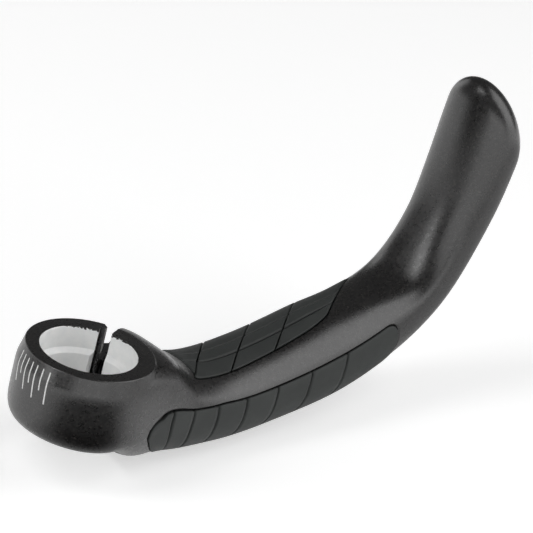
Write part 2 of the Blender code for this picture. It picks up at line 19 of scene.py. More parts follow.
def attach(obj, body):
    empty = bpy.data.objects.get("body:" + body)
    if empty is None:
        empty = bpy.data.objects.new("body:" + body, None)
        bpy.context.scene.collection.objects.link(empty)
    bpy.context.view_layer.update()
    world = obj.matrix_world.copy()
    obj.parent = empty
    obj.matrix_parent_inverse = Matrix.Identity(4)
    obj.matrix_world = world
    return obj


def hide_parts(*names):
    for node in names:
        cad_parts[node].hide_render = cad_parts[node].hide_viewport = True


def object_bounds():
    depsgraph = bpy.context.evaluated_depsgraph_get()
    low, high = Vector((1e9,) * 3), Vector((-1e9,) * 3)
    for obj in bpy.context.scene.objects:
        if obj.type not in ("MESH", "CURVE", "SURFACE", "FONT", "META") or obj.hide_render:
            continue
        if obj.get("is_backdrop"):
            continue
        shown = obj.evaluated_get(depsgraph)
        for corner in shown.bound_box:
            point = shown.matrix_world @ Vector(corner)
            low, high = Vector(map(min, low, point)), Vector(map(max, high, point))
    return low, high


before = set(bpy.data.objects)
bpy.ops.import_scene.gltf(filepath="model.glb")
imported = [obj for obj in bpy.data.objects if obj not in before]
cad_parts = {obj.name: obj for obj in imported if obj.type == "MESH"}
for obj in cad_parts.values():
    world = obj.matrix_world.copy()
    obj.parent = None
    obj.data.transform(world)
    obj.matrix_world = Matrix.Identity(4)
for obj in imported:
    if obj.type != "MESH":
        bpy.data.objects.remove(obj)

MM = 0.001
BODY = "root"
LOG = logging.getLogger("bar_end")

WELD = 1e-7
SHARP_ANGLE = math.radians(35.0)
# Shares of a noise between which a finish goes from its one value to its other.
WIDE = (0.3, 0.7)
MIDDLE = (0.35, 0.65)

Array = np.ndarray


class Slot(Enum):
    """The record's material slots."""

    PAINT = "black_paint"
    RUBBER = "grey_rubber"
    BLACK_STEEL = "black_steel"
    BRIGHT_STEEL = "bright_steel"


def hermite(knots: Array, values: Array, slopes: Array, at: Array) -> Array:
    """Cubic curve through values at knots with given slopes: h00 v0 + h10 w m0 + h01 v1 + h11 w m1.

    Args:
        knots: rising places of the given values.
        values: the values there.
        slopes: the slopes there.
        at: places to read.

    Returns:
        The curve's values.
    """
    span = np.clip(np.searchsorted(knots, at, side="right") - 1, 0, len(knots) - 2)
    width = knots[span + 1] - knots[span]
    t = (at - knots[span]) / width
    start = (1 + 2 * t) * (1 - t) ** 2 * values[span] + t * (1 - t) ** 2 * width * slopes[span]
    end = t * t * (3 - 2 * t) * values[span + 1] + t * t * (t - 1) * width * slopes[span + 1]
    return start + end


def smooth_slopes(knots: Array, values: Array, first_slope: float) -> Array:
    """Slopes of the spline whose bend is continuous, with a set first slope and a free last end.

    Args:
        knots: rising places.
        values: values there.
        first_slope: slope at the first knot.

    Returns:
        One slope a knot.
    """
    widths = np.diff(knots)
    chords = np.diff(values) / widths
    low = np.append(widths[1:], 1.0)
    high = np.insert(widths[:-1], 0, 0.0)
    middle = np.concatenate([[1.0], 2 * (widths[:-1] + widths[1:]), [2.0]])
    right = 3 * (widths[1:] * chords[:-1] + widths[:-1] * chords[1:])
    right = np.concatenate([[first_slope], right, [3 * chords[-1]]])
    return np.linalg.solve(np.diag(middle) + np.diag(low, -1) + np.diag(high, 1), right)


def steady_slopes(knots: Array, values: Array) -> Array:
    """Slopes that never carry a curve past its neighbours: the harmonic mean of the chords on both sides.

    Args:
        knots: rising places.
        values: values there.

    Returns:
        One slope a knot, zero at both ends and at turning points.
    """
    chords = np.diff(values) / np.diff(knots)
    before, after = chords[:-1], chords[1:]
    total = np.where(before + after == 0, 1.0, before + after)
    inner = np.where(before * after > 0, 2 * before * after / total, 0.0)
    return np.concatenate([[0.0], inner, [0.0]])


def rounded(cosine: Array, power: Array | float) -> Array:
    """A superellipse's coordinate: the sign of a cosine times its size to the power 2 / n."""
    return np.sign(cosine) * np.abs(cosine) ** (2.0 / power)


def bulge(share: Array, power: Array | float) -> Array:
    """A superellipse's height over a share of its half width: (1 - share^n)^(1/n)."""
    return (1.0 - share**power) ** (1.0 / power)


def full_turn(steps: int) -> Array:
    """Even angles round a whole turn, as one row."""
    return np.linspace(0.0, 2 * math.pi, steps, endpoint=False)[None, :]


def quarter_turn(steps: int) -> Array:
    """Even angles from 0 to a right angle."""
    return np.linspace(0.0, 0.5 * math.pi, steps)


def round_axis(radius: Array, height: Array, turn: Array, axis: float = 0.0) -> Array:
    """Points round an upright axis at X = axis: (r cos a + axis, r sin a, h)."""
    return np.stack([radius * np.cos(turn) + axis, radius * np.sin(turn), height + 0 * turn], axis=-1)


def smooth_step(low: float, high: float, value: Array) -> Array:
    """0 below low, 1 above high, and 3 t squared - 2 t cubed between."""
    t = np.clip((value - low) / (high - low), 0.0, 1.0)
    return t * t * (3 - 2 * t)


def grid_quads(rows: int, columns: int, wrap: bool = False, first: int = 0) -> Array:
    """Corner numbers of the quads of a grid of vertices laid out row by row.

    Args:
        rows: rows of vertices.
        columns: vertices in a row.
        wrap: whether the last column joins the first.
        first: number of the grid's first vertex.

    Returns:
        An array of four numbers a quad.
    """
    i = np.arange(rows - 1)[:, None]
    j = np.arange(columns if wrap else columns - 1)[None, :]
    k = (j + 1) % columns
    corners = [i * columns + j, i * columns + k, (i + 1) * columns + k, (i + 1) * columns + j]
    return np.stack(corners, axis=-1).reshape(-1, 4) + first


def linked(name: str, data: bpy.types.ID) -> bpy.types.Object:
    """A new object of a mesh, lamp or camera, linked to the scene.

    Args:
        name: the object's name.
        data: what it shows.

    Returns:
        The linked object.
    """
    made = bpy.data.objects.new(name, data)
    bpy.context.scene.collection.objects.link(made)
    return made


def new_object(name: str, points: Array, faces: list, weld: float = 0.0) -> bpy.types.Object:
    """A mesh object from points and lists of corner numbers, smooth, welded and facing outwards.

    Args:
        name: the object's name.
        points: vertices, as rows of X, Y and Z.
        faces: corner numbers, one list or row a face.
        weld: vertices closer than this become one, where it isn't 0.

    Returns:
        The linked object.
    """
    mesh = bpy.data.meshes.new(name)
    mesh.from_pydata(points.reshape(-1, 3).tolist(), [], faces)
    shape = bmesh.new()
    shape.from_mesh(mesh)
    if weld:
        bmesh.ops.remove_doubles(shape, verts=shape.verts, dist=weld)
    bmesh.ops.recalc_face_normals(shape, faces=shape.faces)
    shape.to_mesh(mesh)
    shape.free()
    mesh.shade_smooth()
    return linked(name, mesh)


def joined(name: str, parts: list[bpy.types.Object]) -> bpy.types.Object:
    """One smooth object of several, side by side and not welded. The several are removed.

    Args:
        name: the new object's name.
        parts: the objects to put together.

    Returns:
        The linked object.
    """
    shape = bmesh.new()
    for part in parts:
        shape.from_mesh(part.data)
        bpy.data.objects.remove(part)
    mesh = bpy.data.meshes.new(name)
    shape.to_mesh(mesh)
    shape.free()
    mesh.shade_smooth()
    return linked(name, mesh)


def turned(name: str, profile: Array, steps: int) -> bpy.types.Object:
    """A profile of radius and height pairs turned round +Z: (r cos a, r sin a, h) over the grid of both.

    Args:
        name: the object's name.
        profile: pairs, closed by its own ends on the axis.
        steps: how many places round.

    Returns:
        A closed, turned object.
    """
    points = round_axis(profile[:, :1], profile[:, 1:], full_turn(steps))
    return new_object(name, points, grid_quads(len(profile), steps, wrap=True).tolist(), WELD)


def prism(name: str, plan: Array, low: float, high: float) -> bpy.types.Object:
    """An upright prism: the plan's points at both heights, its sides and its two ends.

    Args:
        name: the object's name.
        plan: the outline's points, as rows of X and Y.
        low: height of the lower end.
        high: height of the upper end.

    Returns:
        A closed object.
    """
    count = len(plan)
    levels = [np.column_stack([plan, np.full(count, height)]) for height in (low, high)]
    faces = grid_quads(2, count, wrap=True).tolist()
    faces += [list(range(count)), list(range(count, 2 * count))]
    return new_object(name, np.stack(levels), faces)


def slab(name: str, levels: list[Array]) -> bpy.types.Object:
    """A closed slab from grids of points, the top first: its side walls join the grids' rims.

    Args:
        name: the object's name.
        levels: grids of the same shape. Only the first and last have their insides filled.

    Returns:
        A closed object.
    """
    rows, columns = levels[0].shape[:2]
    numbers = np.arange(rows * columns).reshape(rows, columns)
    sides = [numbers[0, :-1], numbers[:-1, -1], numbers[-1, :0:-1], numbers[:0:-1, 0]]
    rim = np.concatenate(sides)
    size = rows * columns
    middle = [level.reshape(-1, 3)[rim] for level in levels[1:-1]]
    points = np.concatenate([levels[0].reshape(-1, 3), levels[-1].reshape(-1, 3), *middle])
    rims = [rim] + [2 * size + k * len(rim) + np.arange(len(rim)) for k in range(len(middle))]
    rims.append(rim + size)
    faces = [grid_quads(rows, columns), grid_quads(rows, columns, first=size)[:, ::-1]]
    for upper, lower in zip(rims, rims[1:]):
        faces.append(np.stack([upper, np.roll(upper, -1), np.roll(lower, -1), lower], axis=1))
    return new_object(name, points, np.concatenate(faces).tolist())


def rectangle(
    name: str, middle: tuple[float, float, float], half: tuple[float, float], upright: bool = False
) -> bpy.types.Object:
    """A flat rectangle: middle + (x, y, 0), or middle + (0, x, y) where it's upright.

    Args:
        name: the object's name.
        middle: its middle.
        half: its half sizes.
        upright: whether it stands across X.

    Returns:
        The linked object.
    """
    x, y = np.meshgrid((-half[0], half[0]), (-half[1], half[1]), indexing="ij")
    sides = [0.0 * x, x, y] if upright else [x, y, 0.0 * x]
    return new_object(name, np.stack(sides, axis=-1) + np.array(middle), [(0, 2, 3, 1)])


def cut(target: bpy.types.Object, cutter: bpy.types.Object, operation: str = "DIFFERENCE") -> None:
    """Cut or join one object with another for good, and remove the other.

    Args:
        target: the object that stays.
        cutter: the other one.
        operation: DIFFERENCE to cut, or UNION to join.
    """
    modifier = target.modifiers.new(cutter.name, "BOOLEAN")
    modifier.operation = operation
    modifier.solver = "EXACT"
    modifier.object = cutter
    bpy.context.view_layer.update()
    graph = bpy.context.evaluated_depsgraph_get()
    mesh = bpy.data.meshes.new_from_object(target.evaluated_get(graph))
    target.modifiers.clear()
    target.data = mesh
    bpy.data.objects.remove(cutter)


class NodeSheet:
    """A node material under construction, round one Principled shader."""

    def __init__(self, name: str) -> None:
        """Start a material.

        Args:
            name: the material's name.
        """
        self.material = bpy.data.materials.new(name)
        self.material.use_nodes = True
        self.tree = self.material.node_tree
        self.shader = self.tree.nodes["Principled BSDF"]
        self.place = self.tree.nodes.new("ShaderNodeTexCoord").outputs["Object"]

    def set(self, **values: object) -> None:
        """Set or link the shader's sockets by name."""
        for name, value in values.items():
            self.feed(self.shader.inputs[name], value)

    def feed(self, socket: bpy.types.NodeSocket, value: object) -> None:
        """Link a socket to another, or give it a plain value.

        Args:
            socket: the socket to feed.
            value: another socket, or a plain value. A colour of three parts is made opaque.
        """
        if isinstance(value, bpy.types.NodeSocket):
            self.tree.links.new(value, socket)
        else:
            opaque = socket.type == "RGBA" and len(value) == 3
            socket.default_value = (*value, 1.0) if opaque else value

    def node(self, kind: str, *values: object, **settings: object) -> bpy.types.Node:
        """Add a node, give it its settings and feed its first sockets in order.

        Args:
            kind: the node's type, without its first word.
            *values: what the first sockets get. A None is passed over.
            **settings: the node's own settings.

        Returns:
            The node.
        """
        made = self.tree.nodes.new("ShaderNode" + kind)
        for name, value in settings.items():
            setattr(made, name, value)
        for socket, value in zip(made.inputs, values):
            if value is not None:
                self.feed(socket, value)
        return made

    def maths(self, operation: str, *values: object) -> bpy.types.NodeSocket:
        """One Math node's result."""
        return self.node("Math", *values, operation=operation).outputs[0]

    def noise(self, scale: float, detail: float = 2.0, at: object = None) -> bpy.types.NodeSocket:
        """A noise's value, from 0 to 1.

        Args:
            scale: grains a metre.
            detail: how many finer noises are laid over it.
            at: the place that it reads, or nothing for the place on the object.

        Returns:
            The socket of the value.
        """
        made = self.node("TexNoise", at or self.place)
        made.inputs["Scale"].default_value = scale
        made.inputs["Detail"].default_value = detail
        return made.outputs["Fac"]

    def spread(
        self, value: object, low: float, high: float, out_low: float = 0.0, out_high: float = 1.0
    ) -> bpy.types.NodeSocket:
        """A value carried from one range to another, by default 0 to 1, and held at its ends."""
        return self.node("MapRange", value, low, high, out_low, out_high).outputs[0]

    def blend(self, share: object, first: object, second: object) -> bpy.types.NodeSocket:
        """A colour between two.

        Args:
            share: the second colour's share.
            first: the first colour.
            second: the second colour.

        Returns:
            The colour's socket.
        """
        made = self.node("Mix", data_type="RGBA")
        for name, value in (("Factor_Float", share), ("A_Color", first), ("B_Color", second)):
            self.feed(next(socket for socket in made.inputs if socket.identifier == name), value)
        return next(socket for socket in made.outputs if socket.identifier == "Result_Color")

    def bump(self, height: object, depth: float, before: object = None) -> bpy.types.NodeSocket:
        """A bumped normal.

        Args:
            height: the height's socket, from 0 to 1.
            depth: how far a height of 1 stands out.
            before: a normal that is bumped further, if there is one.

        Returns:
            The normal's socket.
        """
        made = self.node("Bump")
        made.inputs["Strength"].default_value = 1.0
        made.inputs["Distance"].default_value = depth
        self.feed(made.inputs["Height"], height)
        if before is not None:
            self.feed(made.inputs["Normal"], before)
        return made.outputs[0]


class Finish(Protocol):
    """What every finish can do."""

    def material(self) -> bpy.types.Material:
        """The finish's node material."""


@dataclass(frozen=True)
class SatinPaint:
    """Satin black paint on a casting: a very fine grain with pale flecks, and slow waves under it."""

    name: str = "satin_black_paint"
    dark: tuple[float, float, float] = (0.004, 0.004, 0.004)
    light: tuple[float, float, float] = (0.013, 0.012, 0.012)
    fleck: tuple[float, float, float] = (0.036, 0.033, 0.030)
    roughness: tuple[float, float] = (0.25, 0.35)
    specular: float = 1.0
    grain: float = 2300.0
    grain_detail: float = 3.0
    grain_depth: float = 0.032 * MM
    flecks: float = 1840.0
    fleck_share: tuple[float, float] = (0.56, 0.7)
    patches: float = 920.0
    waves: float = 260.0
    wave_depth: float = 0.02 * MM

    def material(self) -> bpy.types.Material:
        """The paint's node material.

        Returns:
            The material.
        """
        sheet = NodeSheet(self.name)
        grain = sheet.noise(self.grain, self.grain_detail)
        waves = sheet.noise(self.waves)
        normal = sheet.bump(grain, self.grain_depth, sheet.bump(waves, self.wave_depth))
        colour = sheet.blend(sheet.spread(grain, *MIDDLE), self.dark, self.light)
        flecks = sheet.spread(sheet.noise(self.flecks), *self.fleck_share)
        sheet.set(**{
            "Base Color": sheet.blend(flecks, colour, self.fleck),
            "Roughness": sheet.spread(sheet.noise(self.patches), *WIDE, *self.roughness),
            "Specular IOR Level": self.specular,
            "Normal": normal,
        })
        return sheet.material


@dataclass(frozen=True)
class MouldedRubber:
    """Matte grey rubber with the fine grain of its mould, and clouds of a darker grey."""

    name: str = "moulded_rubber"
    dark: tuple[float, float, float] = (0.026, 0.029, 0.028)
    light: tuple[float, float, float] = (0.044, 0.048, 0.046)
    roughness: tuple[float, float] = (0.55, 0.68)
    specular: float = 0.45
    grain: float = 2600.0
    grain_depth: float = 0.02 * MM
    clouds: float = 120.0
    cloud_detail: float = 3.0

    def material(self) -> bpy.types.Material:
        """The rubber's node material.

        Returns:
            The material.
        """
        sheet = NodeSheet(self.name)
        grain = sheet.noise(self.grain)
        clouds = sheet.noise(self.clouds, self.cloud_detail)
        shade = sheet.maths("ADD", *(sheet.maths("MULTIPLY", part, 0.5) for part in (grain, clouds)))
        sheet.set(**{
            "Base Color": sheet.blend(sheet.spread(shade, *WIDE), self.dark, self.light),
            "Roughness": sheet.spread(grain, *WIDE, *self.roughness),
            "Specular IOR Level": self.specular,
            "Normal": sheet.bump(grain, self.grain_depth),
        })
        return sheet.material


@dataclass(frozen=True)
class BareAluminium:
    """Machined aluminium of the bore: fine turning lines, dull patches, and paint torn at its upper rim.

    The torn paint reaches down only on the slot's side, between two distances from the axis towards it.
    """

    name: str = "bare_aluminium"
    colour: tuple[float, float, float] = (0.97, 0.97, 0.96)
    dull: tuple[float, float, float] = (0.90, 0.91, 0.91)
    metallic: float = 0.22
    paint: tuple[float, float, float] = (0.012, 0.012, 0.012)
    roughness: tuple[float, float] = (0.5, 0.62)
    line_pitch: float = 0.16 * MM
    line_depth: float = 0.004 * MM
    patches: float = 420.0
    dull_share: tuple[float, float] = (0.35, 0.7)
    torn_edge: float = 1300.0
    torn_share: tuple[float, float] = (0.4, 0.6)
    torn_least: float = 0.1
    torn_reach: float = 0.75 * MM
    torn_from: tuple[float, float] = (8.8 * MM, 12.0 * MM)
    slot_side: tuple[float, float] = (0.829, 0.559)
    detail: float = 3.0

    def material(self) -> bpy.types.Material:
        """The metal's node material.

        Returns:
            The material.
        """
        sheet = NodeSheet(self.name)
        split = sheet.node("SeparateXYZ", sheet.place)
        height = split.outputs["Z"]
        turns = sheet.maths("SINE", sheet.maths("MULTIPLY", height, 2 * math.pi / self.line_pitch))
        patches = sheet.noise(self.patches, self.detail)
        ragged = sheet.noise(self.torn_edge, self.detail)
        toward = sheet.maths("ADD", *(
            sheet.maths("MULTIPLY", split.outputs[axis], share) for axis, share in zip("XY", self.slot_side)
        ))
        reach = sheet.spread(toward, *self.torn_from, 0.0, self.torn_reach)
        depth = sheet.maths("MULTIPLY", sheet.spread(ragged, *self.torn_share, self.torn_least), reach)
        torn = sheet.maths("GREATER_THAN", sheet.maths("ADD", height, depth), 0.0)
        metal = sheet.blend(sheet.spread(patches, *self.dull_share), self.colour, self.dull)
        sheet.set(**{
            "Base Color": sheet.blend(torn, metal, self.paint),
            "Metallic": sheet.maths("MULTIPLY", sheet.maths("SUBTRACT", 1.0, torn), self.metallic),
            "Roughness": sheet.spread(patches, *WIDE, *self.roughness),
            "Normal": sheet.bump(turns, self.line_depth),
        })
        return sheet.material


@dataclass(frozen=True)
class SawnFace:
    """The slot's sawn walls: black paint with a painted sheen of grey streaks near the rim that fades out
    lower down, saw marks as bumps, and one bare torn patch.
    """

    name: str = "sawn_slot_wall"
    black: tuple[float, float, float] = (0.008, 0.008, 0.008)
    # Painted sheen: a grey that stands in for the light on the black paint near the rim, with how deep it
    # reaches and how it fades out.
    painted_sheen: tuple[float, float, float] = (0.32, 0.31, 0.30)
    bare: tuple[float, float, float] = (0.95, 0.95, 0.93)
    roughness: float = 0.5
    painted_sheen_depth: float = 7.0 * MM
    painted_sheen_fade: float = 1.5 * MM
    least_painted_sheen: float = 0.25
    streaks: float = 900.0
    streak_stretch: float = 0.06
    streak_share: tuple[float, float] = (0.42, 0.58)
    patch: tuple[float, float, float] = (12.3 * MM, 6.95 * MM, -5.6 * MM)
    patch_radius: float = 1.3 * MM
    patch_reach: float = 1.6
    patch_edge: float = 1500.0
    edge_detail: float = 3.0
    saw_depth: float = 0.03 * MM

    def material(self) -> bpy.types.Material:
        """The sawn face's node material.

        Returns:
            The material.
        """
        sheet = NodeSheet(self.name)
        long = sheet.node("Mapping", sheet.place, None, None, (1.0, 1.0, self.streak_stretch)).outputs[0]
        streaks = sheet.noise(self.streaks, at=long)
        height = sheet.node("SeparateXYZ", sheet.place).outputs["Z"]
        # The painted sheen fades out below its depth and leaves the black paint. The streaks also give the
        # saw marks' bumps.
        fade = (-self.painted_sheen_depth - self.painted_sheen_fade, -self.painted_sheen_depth)
        upper = sheet.spread(height, *fade, self.least_painted_sheen)
        share = sheet.maths("MULTIPLY", sheet.spread(streaks, *self.streak_share, self.least_painted_sheen), upper)
        gap = sheet.node("VectorMath", sheet.place, self.patch, operation="DISTANCE").outputs["Value"]
        ragged = sheet.maths("MULTIPLY", sheet.noise(self.patch_edge, self.edge_detail), self.patch_radius)
        reach = self.patch_reach * self.patch_radius
        torn = sheet.maths("LESS_THAN", sheet.maths("ADD", gap, ragged), reach)
        # Black paint under the painted sheen's grey streaks.
        paint = sheet.blend(share, self.black, self.painted_sheen)
        sheet.set(**{
            "Base Color": sheet.blend(torn, paint, self.bare),
            "Roughness": self.roughness,
            "Normal": sheet.bump(streaks, self.saw_depth),
        })
        return sheet.material


@dataclass(frozen=True)
class PrintedWhite:
    """White print with a little speckle."""

    name: str = "white_print"
    white: tuple[float, float, float] = (0.95, 0.95, 0.94)
    worn: tuple[float, float, float] = (0.70, 0.70, 0.69)
    roughness: tuple[float, float] = (0.45, 0.6)
    speckle: float = 5200.0
    speckle_share: tuple[float, float] = (0.3, 0.5)
    speckle_depth: float = 0.005 * MM

    def material(self) -> bpy.types.Material:
        """The print's node material.

        Returns:
            The material.
        """
        sheet = NodeSheet(self.name)
        speckle = sheet.noise(self.speckle)
        sheet.set(**{
            "Base Color": sheet.blend(sheet.spread(speckle, *self.speckle_share), self.worn, self.white),
            "Roughness": sheet.spread(speckle, *WIDE, *self.roughness),
            "Normal": sheet.bump(speckle, self.speckle_depth),
        })
        return sheet.material


@dataclass(frozen=True)
class TurnedSteel:
    """Steel with fine marks of its making, oxidised black or plated bright."""

    name: str
    colour: tuple[float, float, float]
    roughness: tuple[float, float]
    metallic: float = 1.0
    darkest: float = 0.7
    marks: float = 1800.0
    mark_detail: float = 4.0
    mark_depth: float = 0.006 * MM

    def material(self) -> bpy.types.Material:
        """The steel's node material.

        Returns:
            The material.
        """
        sheet = NodeSheet(self.name)
        marks = sheet.noise(self.marks, self.mark_detail)
        dark = tuple(self.darkest * part for part in self.colour)
        sheet.set(**{
            "Base Color": sheet.blend(sheet.spread(marks, *MIDDLE), dark, self.colour),
            "Metallic": self.metallic,
            "Roughness": sheet.spread(marks, *WIDE, *self.roughness),
            "Normal": sheet.bump(marks, self.mark_depth),
        })
        return sheet.material


@dataclass(frozen=True)
class Station:
    """A section of the arm in millimetres: its middle, its half sizes and how square its halves are."""

    reach: float
    rise: float
    inner: float
    outer: float
    half_width: float
    inner_power: float = 2.3
    outer_power: float = 2.3


class Column(IntEnum):
    """Columns of the stations' table."""

    REACH = 0
    RISE = 1
    INNER = 2
    OUTER = 3
    HALF_WIDTH = 4
    INNER_POWER = 5
    OUTER_POWER = 6


@dataclass
class ArmSkin:
    """The cast arm's outer skin, as a surface of the place along the arm and the angle round it."""

    stations: tuple[Station, ...] = (
        Station(0.0, -11.0, 10.65, 12.5, 17.5, 6.0, 4.0),
        Station(16.5, -14.7, 14.1, 15.4, 15.4, 3.4, 2.8),
        Station(29.0, -18.9, 10.7, 13.0, 14.1, 2.6),
        Station(43.0, -21.2, 10.2, 11.1, 13.6, 2.4),
        Station(64.0, -20.3, 11.0, 10.8, 13.2, 2.4),
        Station(85.0, -16.6, 11.9, 11.7, 13.0, 2.4),
        Station(103.0, -10.6, 9.7, 12.5, 11.9, 2.4),
        Station(119.0, 0.0, 6.2, 13.0, 11.2, 2.4),
        Station(128.5, 14.0, 8.5, 11.7, 10.8, 2.3, 2.4),
        Station(132.8, 28.9, 9.3, 11.95, 11.8, 2.1, 2.2),
        Station(135.2, 43.6, 10.2, 12.0, 12.4, 1.95, 2.05),
    )
    square_plane_length: float = 26.0 * MM
    tip_slant: float = 0.73
    tip_side_slant: float = 0.1
    tip_slant_length: float = 24.0 * MM
    tip_slant_ease: float = 1.5
    tip_dome: float = 11.5 * MM
    tip_dome_power: float = 2.05
    slope_nudge: float = 0.05 * MM
    search_steps: int = 12
    table: Array = field(init=False)
    knots: Array = field(init=False)

    def __post_init__(self) -> None:
        """Work out the stations' places along the arm."""
        table = np.array([astuple(station) for station in self.stations])
        table[:, :Column.INNER_POWER] *= MM
        steps = np.hypot(np.diff(table[:, Column.REACH]), np.diff(table[:, Column.RISE]))
        self.table = table
        self.knots = np.concatenate([[0.0], np.cumsum(steps)])

    @property
    def length(self) -> float:
        """Length of the middle line."""
        return float(self.knots[-1])

    @property
    def heel(self) -> Station:
        """The first section, in metres."""
        return Station(*self.table[0])

    def size(self, column: Column, at: Array) -> Array:
        """One column of the stations' table, read along the arm on a steady curve."""
        values = self.table[:, column]
        return hermite(self.knots, values, steady_slopes(self.knots, values), at)

    def spine(self, at: Array) -> tuple[Array, Array, Array, Array]:
        """The middle line in the plane Y = 0 and its run direction.

        The line is the smooth spline through the stations' middles. Near the clamp its run direction turns
        from +X to the line's own over the square plane length.

        Args:
            at: places along the arm.

        Returns:
            X and Z of the points, and X and Z of the unit run directions.
        """
        reach, rise = self.table[:, Column.REACH], self.table[:, Column.RISE]
        reach_slopes = smooth_slopes(self.knots, reach, 1.0)
        rise_slopes = smooth_slopes(self.knots, rise, 0.0)
        x = hermite(self.knots, reach, reach_slopes, at)
        z = hermite(self.knots, rise, rise_slopes, at)
        dx = hermite(self.knots, reach, reach_slopes, at + self.slope_nudge) - x
        dz = hermite(self.knots, rise, rise_slopes, at + self.slope_nudge) - z
        square = np.clip(at / self.square_plane_length, 0.0, 1.0)
        length = np.hypot(dx, dz)
        run_x = square * dx / length + (1.0 - square)
        run_z = square * dz / length
        length = np.hypot(run_x, run_z)
        return x, z, run_x / length, run_z / length

    def section(self, at: Array, angle: Array, offset: Array | float = 0.0) -> tuple[Array, Array]:
        """Sideways and inward distances of the skin from the middle line.

        Each half of a section is a superellipse: half size times the rounded cosine and sine of the angle,
        which starts at +Y and turns towards the grip side.

        Args:
            at: places along the arm.
            angle: angles round it.
            offset: distance outside the skin.

        Returns:
            Sideways and inward distances.
        """
        inward = np.sin(angle) >= 0
        power = np.where(inward, self.size(Column.INNER_POWER, at), self.size(Column.OUTER_POWER, at))
        height = np.where(inward, self.size(Column.INNER, at), self.size(Column.OUTER, at))
        side = (self.size(Column.HALF_WIDTH, at) + offset) * rounded(np.cos(angle), power)
        return side, (height + offset) * rounded(np.sin(angle), power)

    def point(self, at: Array, angle: Array, offset: Array | float = 0.0) -> Array:
        """Points of the skin, or at a distance outside it: middle + side * Y + up * inward direction.

        Towards the tip the sections lean along the arm by the slants times their inward and sideways
        distances.

        Args:
            at: places along the arm.
            angle: angles round it.
            offset: distance outside the skin.

        Returns:
            Points, with X, Y and Z on the last axis.
        """
        x, z, run_x, run_z = self.spine(at)
        side, up = self.section(at, angle, offset)
        start = self.length - self.tip_slant_length
        lean = np.clip((at - start) / self.tip_slant_length, 0.0, 1.0) ** self.tip_slant_ease
        along = lean * (self.tip_slant * up + self.tip_side_slant * side)
        return np.stack([x - run_z * up + run_x * along, side, z + run_x * up + run_z * along], axis=-1)

    def top_height(self, x: Array, y: Array) -> Array:
        """Height of the skin's grip side above a plan point near the clamp.

        On the half turned heel it is middle + half height * (1 - (radius / half width)^n)^(1/n). On the arm
        the same holds across a section, whose place is found by stepping on by what is missing of X.

        Args:
            x: X of the points.
            y: Y of the points.

        Returns:
            Their heights.
        """
        first = self.heel
        share = np.clip(np.hypot(x, y) / first.half_width, 0.0, 1.0)
        heel = first.rise + first.inner * bulge(share, first.inner_power)
        at = np.maximum(x, 0.0)
        for _ in range(self.search_steps):
            middle_x, middle_z, run_x, run_z = self.spine(at)
            share = np.clip(np.abs(y) / self.size(Column.HALF_WIDTH, at), 0.0, 1.0)
            up = self.size(Column.INNER, at) * bulge(share, self.size(Column.INNER_POWER, at))
            at = np.maximum(at + x - (middle_x - run_z * up), 0.0)
        return np.where(x < 0, heel, middle_z + run_x * up)

    def dome(self, angle: Array, steps: int) -> Array:
        """The tip's dome beyond the last section: rows shrink as (1 - t^n)^(1/n) while t grows along the arm.

        Args:
            angle: angles round the section.
            steps: number of rows.

        Returns:
            A grid of points, whose last row is the pole.
        """
        x, z, run_x, run_z = (float(value[0]) for value in self.spine(np.array([self.length])))
        side, up = self.section(np.full(angle.shape, self.length), angle)
        share = np.sin(0.5 * math.pi * np.arange(1, steps + 1) / steps)[:, None]
        narrow = bulge(share, self.tip_dome_power)
        along = narrow * (self.tip_slant * up + self.tip_side_slant * side) + self.tip_dome * share
        lifted = narrow * up
        parts = [x - run_z * lifted + run_x * along, narrow * side, z + run_x * lifted + run_z * along]
        return np.stack(parts, axis=-1)


